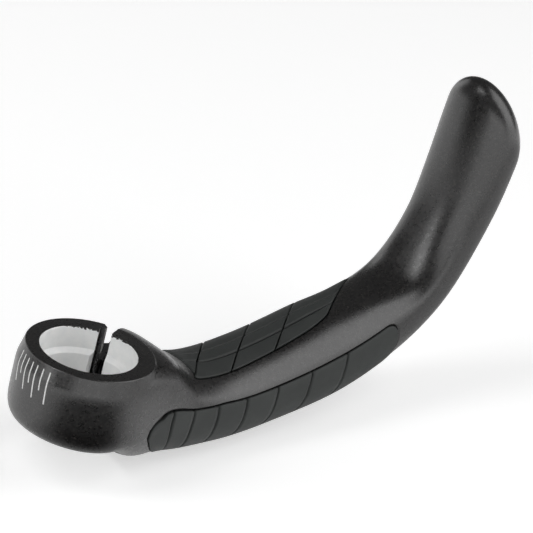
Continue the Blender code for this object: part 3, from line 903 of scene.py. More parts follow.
@dataclass
class RubberPad:
    """A moulded pad on the arm's skin: a grid of skin points with grooves sunk into its top."""

    skin: ArmSkin
    thickness: float = 1.6 * MM
    proud: float = 0.25 * MM
    edge_radius: float = 0.45 * MM
    groove_depth: float = 1.3 * MM
    groove_lines: tuple[float, ...] = (-1.0, -0.8, -0.6, -0.3, 0.0, 0.3, 0.6, 0.8, 1.0)
    groove_room: float = 1.6
    recess_gap: float = 0.3 * MM
    recess_flare: float = 0.35 * MM
    recess_lift: float = 0.02 * MM
    flare_rows: int = 5
    overrun: float = 3.0 * MM
    name: str = "pad"

    def lines(self, start: float, end: float, grooves: Array, half_width: float, step: float) -> Array:
        """Places across a pad: even steps on its blocks and close lines at its grooves.

        Args:
            start: first place.
            end: last place.
            grooves: places of the groove middles.
            half_width: half a groove's width.
            step: largest step on the blocks.

        Returns:
            Rising places.
        """
        even = np.linspace(start, end, int(math.ceil((end - start) / step)) + 1)
        near = np.abs(even[:, None] - grooves[None, :]).min(axis=1) < self.groove_room * half_width
        even = even[~near | (even == start) | (even == end)]
        close = (grooves[:, None] + half_width * np.array(self.groove_lines)[None, :]).ravel()
        close = close[(close > start) & (close < end)]
        return np.unique(np.concatenate([even, close]))

    def groove_sink(self, distance: Array, half_width: float) -> Array:
        """Depth of a groove: the full depth times 1 - (distance / half width)^4."""
        share = np.clip(np.abs(distance) / half_width, 0.0, 1.0)
        return self.groove_depth * (1.0 - share**4)

    def edge_sink(self, distance: Array) -> Array:
        """The pad's rounded rim: a quarter circle, r - sqrt(r^2 - (r - d)^2), over the distance d from it."""
        reach = np.clip(self.edge_radius - distance, 0.0, self.edge_radius)
        return self.edge_radius - np.sqrt(self.edge_radius**2 - reach**2)

    def moulded(self, place: Array, angle: Array, sink: Array) -> bpy.types.Object:
        """The pad's slab, from its sunk top to its level underside.

        Args:
            place: places along the arm, as a grid.
            angle: angles round it.
            sink: how deep the top lies there.

        Returns:
            The pad's object.
        """
        top = self.skin.point(place, angle, self.proud - sink)
        bottom = self.skin.point(place, angle, np.full(place.shape, self.proud - self.thickness))
        return slab(self.name, [top, bottom])

    def plain_grid(self, margin: float) -> tuple[Array, Array]:
        """Places and angles of the outline's grid, grown by a margin and laid without the grooves."""
        raise NotImplementedError

    def recess_levels(self) -> list[tuple[float, float]]:
        """Heights and margins of the recess's walls, from above the skin, round the flared rim, to its floor.

        The rim is lift - flare * sin a high, and gap + flare * (1 - sin a) * sqrt(cos a) outside the pad.

        Returns:
            Pairs of a height and a margin.
        """
        turn = quarter_turn(self.flare_rows)
        heights = self.recess_lift - self.recess_flare * np.sin(turn)
        margins = self.recess_gap + self.recess_flare * (1.0 - np.sin(turn)) * np.cos(turn) ** 0.5
        rim = [(float(height), float(margin)) for height, margin in zip(heights, margins)]
        floor = (self.proud - self.thickness - self.recess_gap, self.recess_gap)
        return [(self.overrun, rim[0][1]), *rim, floor]

    def recess(self) -> bpy.types.Object:
        """The cutter of the pad's recess, whose walls flare out to a rounded rim at the skin.

        Returns:
            A closed object.
        """
        levels = []
        for height, margin in self.recess_levels():
            place, angle = self.plain_grid(margin)
            levels.append(self.skin.point(place, angle, np.full(place.shape, height)))
        return slab("recess", levels)


@dataclass
class PalmPad(RubberPad):
    """The long pad on the palm's side, with blocks that grow towards the elbow."""

    name: str = "palm_pad_rubber"
    start: float = 10.0 * MM
    length: float = 100.0 * MM
    upper_angle: float = 160.0
    lower_angle: float = 232.0
    dip: float = 28.0
    dip_length: float = 33.0 * MM
    dip_ease: float = 1.1
    middle_angle: float = 186.0
    start_cap_angle: float = 199.0
    start_radius: float = 6.5 * MM
    start_lean: float = 0.33 * MM
    far_lean: float = -0.11 * MM
    lean_fade: float = 24.0 * MM
    end_gap_share: float = 1.4
    end_radius: float = 6.5 * MM
    end_power: float = 2.2
    end_share: float = 0.14
    skin_radius: float = 13.2 * MM
    groove_half_width: float = 0.36 * MM
    first_block: float = 11.5 * MM
    second_block: float = 8.8 * MM
    block_growth: float = 1.09
    groove_count: int = 7
    cap_rows: int = 15
    plain_half_width: float = 0.5 * MM
    row_step: float = 0.012
    edge_share: float = 0.02
    edge_columns: int = 5
    middle_columns: int = 45

    def grooves(self) -> Array:
        """Places of the grooves: each block is longer than the one before it by the growth."""
        blocks = self.second_block * self.block_growth ** np.arange(self.groove_count - 1)
        return self.start + self.first_block + np.concatenate([[0.0], np.cumsum(blocks)])

    def outline(self, place: Array, margin: float) -> tuple[Array, Array]:
        """The pad's two edges: both angles close in on a middle one round a superellipse at the ends.

        Args:
            place: places along the arm.
            margin: how far the outline stands outside the pad's own.

        Returns:
            The upper and lower edges' angles in degrees.
        """
        end_margin = self.end_gap_share * margin
        start, end = self.start - end_margin, self.start + self.length + end_margin
        turn = math.degrees(margin / self.skin_radius)
        dip = self.dip * np.clip(1.0 - (place - self.start) / self.dip_length, 0.0, 1.0) ** self.dip_ease
        upper, lower = self.upper_angle + dip - turn, self.lower_angle + turn
        from_start = (place - start) / (self.start_radius + end_margin)
        from_end = (end - place) / (self.end_radius + end_margin)
        share = np.clip(1.0 - np.minimum(from_start, from_end), 0.0, 1.0)
        ease = np.sqrt(np.maximum(1.0 - share**self.end_power, self.end_share**2))
        middle = np.where(place - start < end - place, self.start_cap_angle, 0.5 * (upper + lower))
        return middle + (upper - middle) * ease, middle + (lower - middle) * ease

    def grid(self, margin: float, along: Array, across: Array) -> tuple[Array, Array]:
        """Places and angles of the pad's grid.

        A row runs from the upper edge to the lower one. Its place leans along the arm by a lean times the
        angle from the middle, and the lean fades from its start value to its far value.

        Args:
            margin: how far the outline stands outside the pad's own.
            along: rows, as shares from 0 to 1 of the pad's length.
            across: columns, as shares from 0 to 1 of its width.

        Returns:
            Places in metres and angles in radians, as grids.
        """
        end_margin = self.end_gap_share * margin
        lines = self.start - end_margin + along * (self.length + 2 * end_margin)
        low, high = self.outline(lines, margin)
        angle = low[:, None] + (high - low)[:, None] * across[None, :]
        fade = np.exp((self.start - lines) / self.lean_fade)
        lean = self.far_lean + (self.start_lean - self.far_lean) * fade
        place = lines[:, None] + lean[:, None] * (angle - self.middle_angle)
        return place, np.radians(angle)

    def shares(self, grooved: bool) -> tuple[Array, Array]:
        """Row and column shares of the grid, close together at the ends, the edges and the grooves.

        Args:
            grooved: whether the lines follow the grooves' own width.

        Returns:
            Rising shares along the pad and across it, from 0 to 1.
        """
        turn = 1.0 - np.cos(0.5 * math.pi * np.arange(self.cap_rows) / self.cap_rows)
        starts, ends = self.start_radius / self.length * turn, self.end_radius / self.length * turn
        grooves = (self.grooves() - self.start) / self.length
        half = (self.groove_half_width if grooved else self.plain_half_width) / self.length
        rows = self.lines(starts[-1], 1.0 - ends[-1], grooves, half, self.row_step)
        rows = np.unique(np.concatenate([starts, rows, 1.0 - ends]))
        steps = np.arange(self.edge_columns + 1) / self.edge_columns
        edge = self.edge_share * (1.0 - np.cos(0.5 * math.pi * steps))
        middle = np.linspace(self.edge_share, 1.0 - self.edge_share, self.middle_columns)[1:-1]
        return rows, np.concatenate([edge, middle, 1.0 - edge[::-1]])

    def plain_grid(self, margin: float) -> tuple[Array, Array]:
        """Places and angles of the outline's grid, grown by a margin and laid without the grooves."""
        return self.grid(margin, *self.shares(grooved=False))

    def build(self) -> bpy.types.Object:
        """The pad: its top sinks by the larger of the nearest groove's depth and its rim's rounding.

        Returns:
            The pad's object.
        """
        rows, columns = self.shares(grooved=True)
        place, angle = self.grid(0.0, rows, columns)
        lines = self.start + rows * self.length
        groove = np.abs(lines[:, None] - self.grooves()[None, :]).min(axis=1)
        low, high = self.outline(lines, 0.0)
        width = np.radians(high - low) * self.skin_radius
        side = np.minimum(columns, 1.0 - columns)[None, :] * width[:, None]
        end = np.minimum(lines - self.start, self.start + self.length - lines)[:, None]
        sink = np.maximum(self.groove_sink(groove, self.groove_half_width)[:, None], self.edge_sink(side))
        sink = np.maximum(sink, self.edge_sink(end + 0 * side))
        return self.moulded(place, angle, sink)


@dataclass
class FingerPad(RubberPad):
    """The slanted pad on the fingers' side, with rows and columns of blocks."""

    name: str = "finger_pad_rubber"
    start: float = 30.8 * MM
    length: float = 52.5 * MM
    upper_angle: float = 43.0
    lower_angle: float = 121.0
    end_angle: float = 103.0
    corner_angle: float = 9.0
    corner_radius: float = 3.0 * MM
    edge_ease: float = 3.0
    lean: tuple[float, float] = (1.44, 1.63)
    start_slant: float = 0.09 * MM
    cross_grooves: tuple[float, ...] = (0.3 * MM, 17.0 * MM, 33.6 * MM)
    cross_half_width: float = 0.44 * MM
    far_corner_angle: float = 8.0
    far_corner_radius: float = 8.0 * MM
    line_angles: tuple[float, ...] = (78.0, 94.0)
    line_half_width: float = 0.30 * MM
    skin_radius: float = 13.2 * MM
    rim_angle: float = 2.0
    rim_lines: int = 5
    angle_step: float = 1.6
    column_step: float = 0.7 * MM
    end_room: float = 0.5 * MM
    corner_columns: int = 24
    wedge_columns: int = 12
    wedge_share: float = 0.97
    line_depth_share: float = 0.7
    rim_slant_share: float = 0.6

    def sideways(self, angle: Array) -> Array:
        """Sideways distance on the skin from the pad's lower edge: radius times the rounded cosines' gap.

        Args:
            angle: angles round the arm in degrees.

        Returns:
            The distances.
        """
        power = self.skin.stations[3].inner_power
        edge = rounded(np.cos(math.radians(self.lower_angle)), power)
        return self.skin_radius * (rounded(np.cos(np.radians(angle)), power) - edge)

    def angle_lines(self, low: float, high: float) -> Array:
        """Angles of the grid's rows, close together at the edges and the lengthwise grooves.

        Args:
            low: the upper edge's angle in degrees.
            high: the lower edge's angle.

        Returns:
            Rising angles in degrees.
        """
        start, end = self.upper_angle, self.lower_angle
        half = math.degrees(self.line_half_width / self.skin_radius)
        rim = self.rim_angle * (1.0 - np.cos(0.5 * math.pi * np.arange(self.rim_lines) / self.rim_lines))
        marks = np.array(self.line_angles)
        inner = self.lines(start + self.rim_angle, end - self.rim_angle, marks, half, self.angle_step)
        angles = np.unique(np.concatenate([start + rim, inner, end - rim]))
        return np.interp(angles, (start, end), (low, high))

    def column_lines(self, end: float) -> Array:
        """Slanted places of the grid's columns, close together at the cross grooves and the far corner.

        Args:
            end: the last place.

        Returns:
            Rising places, from the near side of the first cross groove.
        """
        cross = self.start + np.array(self.cross_grooves)
        first, far = cross[0] - self.cross_half_width, self.start + self.length
        columns = self.lines(first, far - self.end_room, cross, self.cross_half_width, self.column_step)
        columns = columns[columns < far - self.far_corner_radius]
        turn = np.sin(0.5 * math.pi * np.arange(self.corner_columns + 1) / self.corner_columns)
        columns = np.concatenate([columns, far - self.far_corner_radius * (1.0 - turn)])
        return np.interp(columns, (first, far), (first, end))

    def grid(self, margin: float, grooved: bool) -> tuple[Array, Array, Array]:
        """Places, angles and groove depths of the pad's grid.

        Columns of the grid have even slanted places, which equal the place along the arm at the pad's lower
        edge, and rows have even angles. A column leans along the arm by a slope times the sideways distance
        from that edge, so that it lies in a plane. The lower edge climbs in a straight line to the end angle
        and turns round both corners.

        Args:
            margin: how far the outline stands outside the pad's own.
            grooved: whether lines are laid close together at the grooves.

        Returns:
            Places in metres, angles in radians and depths in metres, as grids.
        """
        turn = math.degrees(margin / self.skin_radius)
        slant_margin = margin * math.hypot(1.0, self.lean[1])
        start, end = self.start - margin, self.start + self.length + slant_margin
        low_angle, high_angle = self.upper_angle - turn, self.lower_angle + turn
        marks, cross = np.array(self.line_angles), self.start + np.array(self.cross_grooves)
        angles, columns = self.angle_lines(low_angle, high_angle), self.column_lines(end)
        left = start + self.start_slant * (self.lower_angle - angles) - self.lean[0] * self.sideways(angles)
        share = np.sin(0.25 * math.pi * np.arange(self.wedge_columns) / self.wedge_columns)
        share = share / share[-1] * self.wedge_share
        wedge = left[None, :] + (columns[0] - left)[None, :] * share[:, None]
        slanted = np.concatenate([wedge, np.repeat(columns[:, None], len(angles), axis=1)])
        from_start = np.clip(slanted - start, 0.0, None)
        narrow = (self.lower_angle - self.end_angle) * from_start / (end - start)
        corner = np.clip(1.0 - from_start / (self.corner_radius + margin), 0.0, 1.0)
        narrow = narrow + self.corner_angle * (1.0 - np.sqrt(1.0 - corner**2))
        corner = np.clip(1.0 - (end - slanted) / (self.far_corner_radius + margin), 0.0, 1.0)
        narrow = narrow + self.far_corner_angle * (1.0 - np.sqrt(1.0 - corner**2))
        lean = self.lean[0] + (self.lean[1] - self.lean[0]) * np.clip(from_start / self.length, 0.0, 1.0)
        turned_in = np.clip((angles - low_angle) / (high_angle - low_angle), 0.0, 1.0) ** self.edge_ease
        angle = angles[None, :] - narrow * turned_in[None, :]
        place = slanted + lean * self.sideways(angle)
        cross_gap = np.abs(slanted[..., None] - cross).min(axis=-1)
        line_gap = np.abs(angles[:, None] - marks[None, :]).min(axis=1) * math.radians(self.skin_radius)
        sink = self.groove_sink(cross_gap, self.cross_half_width)
        lengthwise = self.line_depth_share * self.groove_sink(line_gap, self.line_half_width)
        sink = np.maximum(sink, lengthwise[None, :])
        side = np.minimum(angles - low_angle, high_angle - angles) * math.radians(self.skin_radius)
        ahead = np.minimum(slanted - left[None, :], end - slanted)
        ahead = ahead / slant_margin * margin if margin else ahead * self.rim_slant_share
        rim = self.edge_sink(np.minimum(side[None, :] + 0 * ahead, ahead))
        return place, np.radians(angle), np.maximum(sink, rim) if grooved else 0 * sink

    def plain_grid(self, margin: float) -> tuple[Array, Array]:
        """Places and angles of the outline's grid, grown by a margin and laid without the grooves."""
        return self.grid(margin, grooved=False)[:2]

    def build(self) -> bpy.types.Object:
        """The pad's object."""
        return self.moulded(*self.grid(0.0, grooved=True))


@dataclass
class ClampBolt:
    """Socket head cap screw with its washer, across the clamp's slot."""

    slot_azimuth: float = 24.0
    slot_width: float = 2.5 * MM
    slot_offset: float = 0.9 * MM
    diameter: float = 5.0 * MM
    head_diameter: float = 8.5 * MM
    head_height: float = 3.5 * MM
    socket_flats: float = 4.0 * MM
    socket_depth: float = 2.1 * MM
    thread_length: float = 12.0 * MM
    thread_pitch: float = 0.8 * MM
    thread_depth: float = 0.45 * MM
    radial_place: float = 17.6 * MM
    depth: float = 12.6 * MM
    edge: float = 0.4 * MM
    lobe_thickness: float = 2.8 * MM
    washer_diameter: float = 9.0 * MM
    washer_thickness: float = 1.0 * MM
    flat_gap: float = 0.05 * MM
    fit_gap: float = 0.3 * MM
    hole_reach: float = 10.0 * MM
    hole_points: int = 64
    land_share: float = 0.6
    foot_width: float = 0.2 * MM
    foot_height: float = 0.25 * MM
    edge_rows: int = 6
    knurl_count: int = 48
    knurl_points: int = 8
    knurl_depth: float = 0.09 * MM
    knurl_band: float = 0.05 * MM
    knurl_start: float = 0.1 * MM
    socket_cone: float = 0.8 * MM
    shank_overlap: float = 0.2 * MM
    thread_rows: int = 260
    thread_points: int = 48
    thread_flank: float = 2.4
    thread_crest: float = 0.7
    thread_fade: tuple[float, float] = (0.2 * MM, 0.6 * MM)
    point_taper: float = 0.5 * MM
    point_length: float = 0.9 * MM
    washer_edge: float = 0.12 * MM
    washer_edge_rows: int = 4
    washer_points: int = 72

    @property
    def seat(self) -> float:
        """Distance from the slot's middle to the washer's seat."""
        return 0.5 * self.slot_width + self.lobe_thickness

    @property
    def under_head(self) -> float:
        """Distance from the slot's middle to the head's underside."""
        return self.seat + self.washer_thickness + 2 * self.flat_gap

    def place(self) -> Matrix:
        """The bolt's own frame, whose +Z points out of its head and whose origin is in the slot's middle.

        Returns:
            The matrix from that frame to the object's.
        """
        turn = Matrix.Rotation(math.radians(self.slot_azimuth), 4, "Z")
        move = Matrix.Translation(Vector((self.radial_place, self.slot_offset, -self.depth)))
        return turn @ move @ Matrix.Rotation(math.radians(-90.0), 4, "X")

    def laid(self, piece: bpy.types.Object) -> bpy.types.Object:
        """Put a piece that was made in the bolt's frame in its place, in its mesh."""
        piece.data.transform(self.place())
        return piece

    def hole_cutter(self) -> bpy.types.Object:
        """Head recess, through hole and threaded hole, as one turned profile.

        Returns:
            A closed object.
        """
        recess = 0.5 * self.washer_diameter + self.fit_gap
        hole = 0.5 * self.diameter + self.fit_gap
        low = -0.5 * self.slot_width - self.thread_length - 2 * self.fit_gap
        out = self.seat + self.head_height + self.hole_reach
        profile = [(0, out), (recess, out), (recess, self.seat), (hole, self.seat), (hole, low), (0, low)]
        return self.laid(turned("bolt_hole", np.array(profile, float), self.hole_points))

    def head(self) -> bpy.types.Object:
        """The knurled head with its hexagonal socket.

        It's a turned profile whose side ripples: radius + depth * (cos(count * a) - 1) over the angle a.

        Returns:
            The head, in the bolt's own frame.
        """
        low, top = self.under_head, self.under_head + self.head_height
        radius = 0.5 * self.head_diameter
        ease = quarter_turn(self.edge_rows)
        inward, downward = self.edge * (1 - np.sin(ease)), self.edge * (1 - np.cos(ease))
        edge = np.stack([radius - inward, top - downward], axis=1)
        rows = [(0.0, top), (self.land_share * radius, top), *edge.tolist()]
        rows += [(radius, low + self.foot_height), (radius - self.foot_width, low)]
        rows += [(0.5 * self.diameter, low), (0.0, low)]
        head = turned("bolt_head", np.array(rows, float), self.knurl_points * self.knurl_count)
        places = np.empty(len(head.data.vertices) * 3)
        head.data.vertices.foreach_get("co", places)
        places = places.reshape(-1, 3)
        x, y, z = places.T
        reach = np.hypot(x, y)
        side = (reach > radius - self.knurl_band) & (z > low + self.knurl_start)
        ripple = np.where(side, self.knurl_depth * np.cos(self.knurl_count * np.arctan2(y, x)), 0.0)
        places[:, :2] *= (1.0 + (ripple - side * self.knurl_depth) / np.maximum(reach, MM))[:, None]
        head.data.vertices.foreach_set("co", places.ravel())
        turn = np.radians(60.0 * np.arange(6) + 30.0)[None, :]
        corner = self.socket_flats / math.sqrt(3.0)
        above, floor = top + MM, top - self.socket_depth
        wall = np.array([(0.0, above), (corner, above), (corner, floor), (0.0, floor - self.socket_cone)])
        points = round_axis(wall[:, :1], wall[:, 1:], turn)
        cut(head, new_object("socket", points, grid_quads(*points.shape[:2], wrap=True).tolist(), WELD))
        return head

    def shank(self) -> bpy.types.Object:
        """The threaded shank, tapered at its end.

        Its radius falls by a clipped triangle wave of height / pitch - turn.

        Returns:
            The shank, in the bolt's own frame.
        """
        low = -0.5 * self.slot_width - self.thread_length
        heights = np.linspace(self.under_head + self.shank_overlap, low, self.thread_rows)[:, None]
        turn = full_turn(self.thread_points)
        phase = (heights / self.thread_pitch - turn / (2 * math.pi)) % 1.0
        wave = np.clip(self.thread_flank * np.abs(2 * phase - 1.0) - self.thread_crest, 0.0, 1.0)
        plain = smooth_step(*self.thread_fade, heights - self.seat)
        taper = self.point_taper * (1.0 - smooth_step(low, low + self.point_length, heights))
        radius = 0.5 * self.diameter - self.thread_depth * wave * (1.0 - plain) - taper
        count = self.thread_rows * self.thread_points
        faces = grid_quads(self.thread_rows, self.thread_points, wrap=True).tolist()
        faces += [list(range(self.thread_points)), list(range(count - self.thread_points, count))]
        return new_object("bolt_shank", round_axis(radius, heights, turn), faces)

    def build(self) -> bpy.types.Object:
        """The whole bolt as one mesh.

        Returns:
            The bolt, in its place.
        """
        bolt = joined("clamp_bolt_steel", [self.head(), self.shank()])
        bolt.data.set_sharp_from_angle(angle=SHARP_ANGLE)
        return self.laid(bolt)

    def washer(self) -> bpy.types.Object:
        """The flat washer, a closed ring of a rounded rectangle.

        Returns:
            The washer, in its place.
        """
        soft = self.washer_edge
        inner = 0.5 * self.diameter + self.fit_gap + soft
        outer = 0.5 * self.washer_diameter - soft
        low = self.seat + self.flat_gap
        high = low + self.washer_thickness - soft
        low += soft
        ease = quarter_turn(self.washer_edge_rows)
        corners = [(outer, high, 0.0), (outer, low, 0.5), (inner, low, 1.0), (inner, high, 1.5)]
        rows = []
        for x, y, half_turns in corners:
            turn = ease + half_turns * math.pi
            rows.append(np.stack([x + soft * np.sin(turn), y + soft * np.cos(turn)], axis=1))
        profile = np.concatenate(rows)
        points = round_axis(profile[:, :1], profile[:, 1:], full_turn(self.washer_points))
        points = np.concatenate([points, points[:1]])
        faces = grid_quads(len(points), self.washer_points, wrap=True).tolist()
        washer = new_object("clamp_washer_steel", points, faces, WELD)
        washer.data.set_sharp_from_angle(angle=SHARP_ANGLE)
        return self.laid(washer)


@dataclass
class CastBody:
    """The cast and painted body: the arm and its split clamp, with the bore machined bare."""

    skin: ArmSkin
    bolt: ClampBolt
    bore_radius: float = 11.15 * MM
    mouth_radius: float = 12.4 * MM
    mouth_depth: float = 5.8 * MM
    mouth_chamfer: float = 1.0 * MM
    mouth_edge: float = 0.15 * MM
    rim_radius: float = 16.65 * MM
    rim_offset: float = 0.6 * MM
    rim_depth: float = 8.0 * MM
    rim_bevel: float = 0.3 * MM
    fillet_width: float = 5.5 * MM
    fillet_share: float = 0.75
    fillet_sink: float = 0.03 * MM
    hollow_from: tuple[float, float] = (0.25, 0.8)
    collar_step: float = 1.2 * MM
    clamp_height: float = 20.8 * MM
    outer_face_radius: float = 13.4 * MM
    heel_lift: float = 1.5 * MM
    slot_depth: float = 45.0 * MM
    slot_reach: float = 42.0 * MM
    slot_inner: tuple[tuple[float, float], ...] = (
        (5.0 * MM, 7.3 * MM), (9.9 * MM, 7.04 * MM), (12.2 * MM, 4.4 * MM), (5.0 * MM, 0.5 * MM),
    )
    notch_plan: tuple[tuple[float, float], ...] = (
        (13.0 * MM, 6.0 * MM), (13.35 * MM, 7.3 * MM), (13.8 * MM, 8.7 * MM), (14.35 * MM, 10.1 * MM),
        (15.2 * MM, 11.6 * MM), (16.8 * MM, 13.4 * MM), (22.0 * MM, 16.0 * MM), (24.0 * MM, 10.0 * MM),
        (15.2 * MM, 6.6 * MM),
    )
    notch_depth: float = 9.5 * MM
    lobe_corner: tuple[float, float] = (12.7 * MM, 8.2 * MM)
    lobe_corner_radius: float = 1.3 * MM
    lobe_corner_turn: tuple[float, float] = (-85.0, -27.0)
    lobe_corner_points: int = 7
    lobe_length: float = 27.0 * MM
    bore_edge: float = 0.15 * MM
    bore_slope: float = 0.05 * MM
    bore_end_edge: float = 0.4 * MM
    bore_points: int = 192
    fillet_power: float = 3.0
    least_sine: float = 0.1
    collar_points: int = 240
    skirt_rows: int = 18
    edge_rows: int = 6
    overrun: float = 3.0 * MM
    face_reach: float = 50.0 * MM
    round_points: int = 144
    arm_rows: int = 220
    dome_rows: int = 24
    heel_rows: int = 72
    seam_weld: float = 0.002 * MM
    sharp_angle: float = 28.0
    facing_axis: float = 0.3
    level_share: float = 0.15
    facing_slot: float = 0.8
    slot_band: tuple[float, float] = (-1.9 * MM, 4.6 * MM)
    mouth_overlap: float = 0.3 * MM

    def blank(self) -> bpy.types.Object:
        """The cast outer form: a half turned heel, the lofted arm and the domed tip, welded together.

        The heel's half profile is the first section's: (r cos a, r sin a, h) over azimuth a and half angle,
        with its underside lifted by the cosine of the azimuth.

        Returns:
            A closed object.
        """
        angle = np.linspace(0.0, 2 * math.pi, self.round_points, endpoint=False)
        place = np.linspace(0.0, self.skin.length, self.arm_rows)[:, None]
        arm = self.skin.point(place + 0 * angle, angle + 0 * place)
        rows = np.concatenate([arm, self.skin.dome(angle, self.dome_rows)])
        first = self.skin.heel
        half = np.linspace(-0.5 * math.pi, 0.5 * math.pi, self.round_points // 2 + 1)
        radius, height = self.skin.section(np.zeros(half.shape), half)
        azimuth = (0.5 * math.pi + np.linspace(0.0, math.pi, self.heel_rows + 1))[:, None]
        lift = self.heel_lift * np.abs(np.cos(azimuth)) / first.outer
        level = first.rise + np.where(height < 0, height * (1 - lift), height)
        level[:, 0], level[:, -1] = level[0, 0], level[0, -1]
        heel = round_axis(radius, level, azimuth)
        points = np.concatenate([rows.reshape(-1, 3), heel.reshape(-1, 3)])
        faces = np.concatenate([
            grid_quads(*rows.shape[:2], wrap=True),
            grid_quads(*heel.shape[:2], first=rows.shape[0] * rows.shape[1]),
        ])
        return new_object("arm_casting", points, faces.tolist(), self.seam_weld)

    def fillet(self, turn: Array) -> tuple[Array, Array, Array]:
        """The skirt between the rim and the casting, at angles round the rim's middle.

        Its width is a soft minimum of the widest skirt and a share of the way to the casting's side.

        Args:
            turn: angles round the rim's middle.

        Returns:
            The skirt's width, the height of the casting under the rim's edge and that at the skirt's foot.
        """
        cosine = np.cos(turn)
        at = np.maximum(self.rim_radius * cosine + self.rim_offset, 0.0)
        beside = self.skin.size(Column.HALF_WIDTH, at) / np.maximum(np.abs(np.sin(turn)), self.least_sine)
        behind = self.skin.heel.half_width - self.rim_offset * cosine
        way = self.fillet_share * (np.where(cosine > 0, beside, behind) - self.rim_radius)
        power = -self.fillet_power
        width = (way**power + self.fillet_width**power) ** (1.0 / power)
        heights = []
        for reach in (self.rim_radius + 0 * turn, self.rim_radius + width):
            heights.append(self.skin.top_height(reach * cosine + self.rim_offset, reach * np.sin(turn)))
        return width, heights[0], heights[1] - self.fillet_sink

    def rim_collar(self) -> bpy.types.Object:
        """The flat rim of the grip side, whose skirt runs down into the casting.

        At an angle round the rim the skirt is the curve (1 - t)^2 A + 2 t (1 - t) B + t^2 C, from the rim's
        edge A to C on the casting. B is half way between them, where the skirt is straight, and moves
        to the foot of the rim's wall towards the arm, where it's hollow.

        Returns:
            A closed object.
        """
        turn = full_turn(self.collar_points)
        width, foot, low = self.fillet(turn)
        hollow = smooth_step(*self.hollow_from, np.cos(turn))
        ease = quarter_turn(self.edge_rows)[:, None] + 0 * turn
        t = np.linspace(0.0, 1.0, self.skirt_rows)[1:, None] + 0 * turn
        edge = -self.rim_bevel
        middle_width = 0.5 * width * (1 - hollow)
        middle_height = 0.5 * (edge + low) * (1 - hollow) + foot * hollow
        skirt = self.rim_radius + 2 * middle_width * t * (1 - t) + width * t**2
        drop = edge * (1 - t) ** 2 + 2 * middle_height * t * (1 - t) + low * t**2
        radius = [0 * turn, self.rim_radius - self.rim_bevel * (1 - np.sin(ease)), skirt]
        height = [0 * turn, -self.rim_bevel * (1 - np.cos(ease)), drop]
        radius += [self.rim_radius + width - self.collar_step, 0.5 * self.rim_radius + 0 * turn, 0 * turn]
        height += [low - 2 * self.collar_step] + 2 * [0 * turn - self.rim_depth]
        radius, height = np.concatenate(radius), np.concatenate(height)
        points = round_axis(radius, height, turn, self.rim_offset)
        return new_object("rim_collar", points, grid_quads(*points.shape[:2], wrap=True).tolist(), WELD)

    def side_reach(self, turn: Array, height: Array) -> Array:
        """Distance of the clamp's side from the rim's middle, away from the arm.

        It's the larger of the skirt's and the heel's. The skirt is straight there. The heel's distance
        from the bar's axis is half width * (1 - (|height| / half height)^n)^(1/n).

        Args:
            turn: angles round the rim's middle.
            height: heights.

        Returns:
            The distances.
        """
        width, _, low = self.fillet(turn)
        t = (height + self.rim_bevel) / (low + self.rim_bevel)
        skirt = np.where(t < 1.0, self.rim_radius + width * np.clip(t, 0.0, 1.0), 0.0)
        first = self.skin.heel
        share = np.clip(np.abs(height - first.rise) / first.inner, 0.0, 1.0)
        heel = first.half_width * bulge(share, first.inner_power)
        offset = self.rim_offset
        heel = np.sqrt(np.maximum(heel**2 - (offset * np.sin(turn)) ** 2, 0.0)) - offset * np.cos(turn)
        return np.maximum(skirt, heel)

    def bore_cutter(self) -> bpy.types.Object:
        """The bar's bore, its wider mouth and their small edges.

        Returns:
            A closed object.
        """
        low = -self.clamp_height - self.overrun
        mouth, bore, depth = self.mouth_radius, self.bore_radius, self.mouth_depth
        rows = [
            (0.0, self.overrun),
            (mouth + self.mouth_edge, self.overrun),
            (mouth + self.mouth_edge, 0.0),
            (mouth, -self.mouth_edge),
            (mouth, -depth),
            (mouth - self.bore_edge, -depth - self.bore_slope),
            (bore + self.bore_edge, -depth - self.mouth_chamfer),
            (bore, -depth - self.mouth_chamfer - self.bore_edge),
            (bore, -self.clamp_height + self.bore_end_edge),
            (bore + self.bore_end_edge, -self.clamp_height),
            (bore + self.bore_end_edge, low),
            (0.0, low),
        ]
        return turned("bore", np.array(rows, float), self.bore_points)

    def outer_face_cutter(self) -> bpy.types.Object:
        """The flat seat on the clamp's outer side.

        Returns:
            A closed object.
        """
        low, radius = -self.face_reach, self.outer_face_radius
        rows = [(0.0, -self.clamp_height), (radius, -self.clamp_height), (radius, low), (0.0, low)]
        return turned("outer_face", np.array(rows, float), self.round_points)

    def slot_cutter(self) -> bpy.types.Object:
        """The clamp's slot: a tall prism on a plan whose free lobe has a round outer corner.

        Returns:
            A closed object.
        """
        turn = np.radians(np.linspace(*self.lobe_corner_turn, self.lobe_corner_points))
        corner = np.stack([
            self.lobe_corner[0] + self.lobe_corner_radius * np.sin(turn),
            self.lobe_corner[1] - self.lobe_corner_radius * np.cos(turn),
        ], axis=1)
        reach, offset, half = np.array([self.slot_reach]), self.bolt.slot_offset, 0.5 * self.bolt.slot_width
        ends = [self.on_slot(reach, offset + half), self.on_slot(reach, offset - half)]
        inner = np.array(self.slot_inner)
        plan = np.concatenate([inner[:2], corner, *ends, inner[2:]])
        return prism("slot", plan, -self.slot_depth, self.overrun)

    def on_slot(self, along: Array, across: float) -> Array:
        """Plan points beside the slot's direction: the pair (along, across) turned by its azimuth.

        Args:
            along: distances from the bar's axis along the slot's direction.
            across: distance to its left.

        Returns:
            Rows of X and Y.
        """
        azimuth = math.radians(self.bolt.slot_azimuth)
        cosine, sine = math.cos(azimuth), math.sin(azimuth)
        return np.stack([along * cosine - across * sine, along * sine + across * cosine], axis=-1)

    def lobe_notch_cutter(self) -> bpy.types.Object:
        """Takes the free lobe's outer corner back near the rim, where the slot opens wider."""
        return prism("lobe_notch", np.array(self.notch_plan), -self.notch_depth, self.overrun)

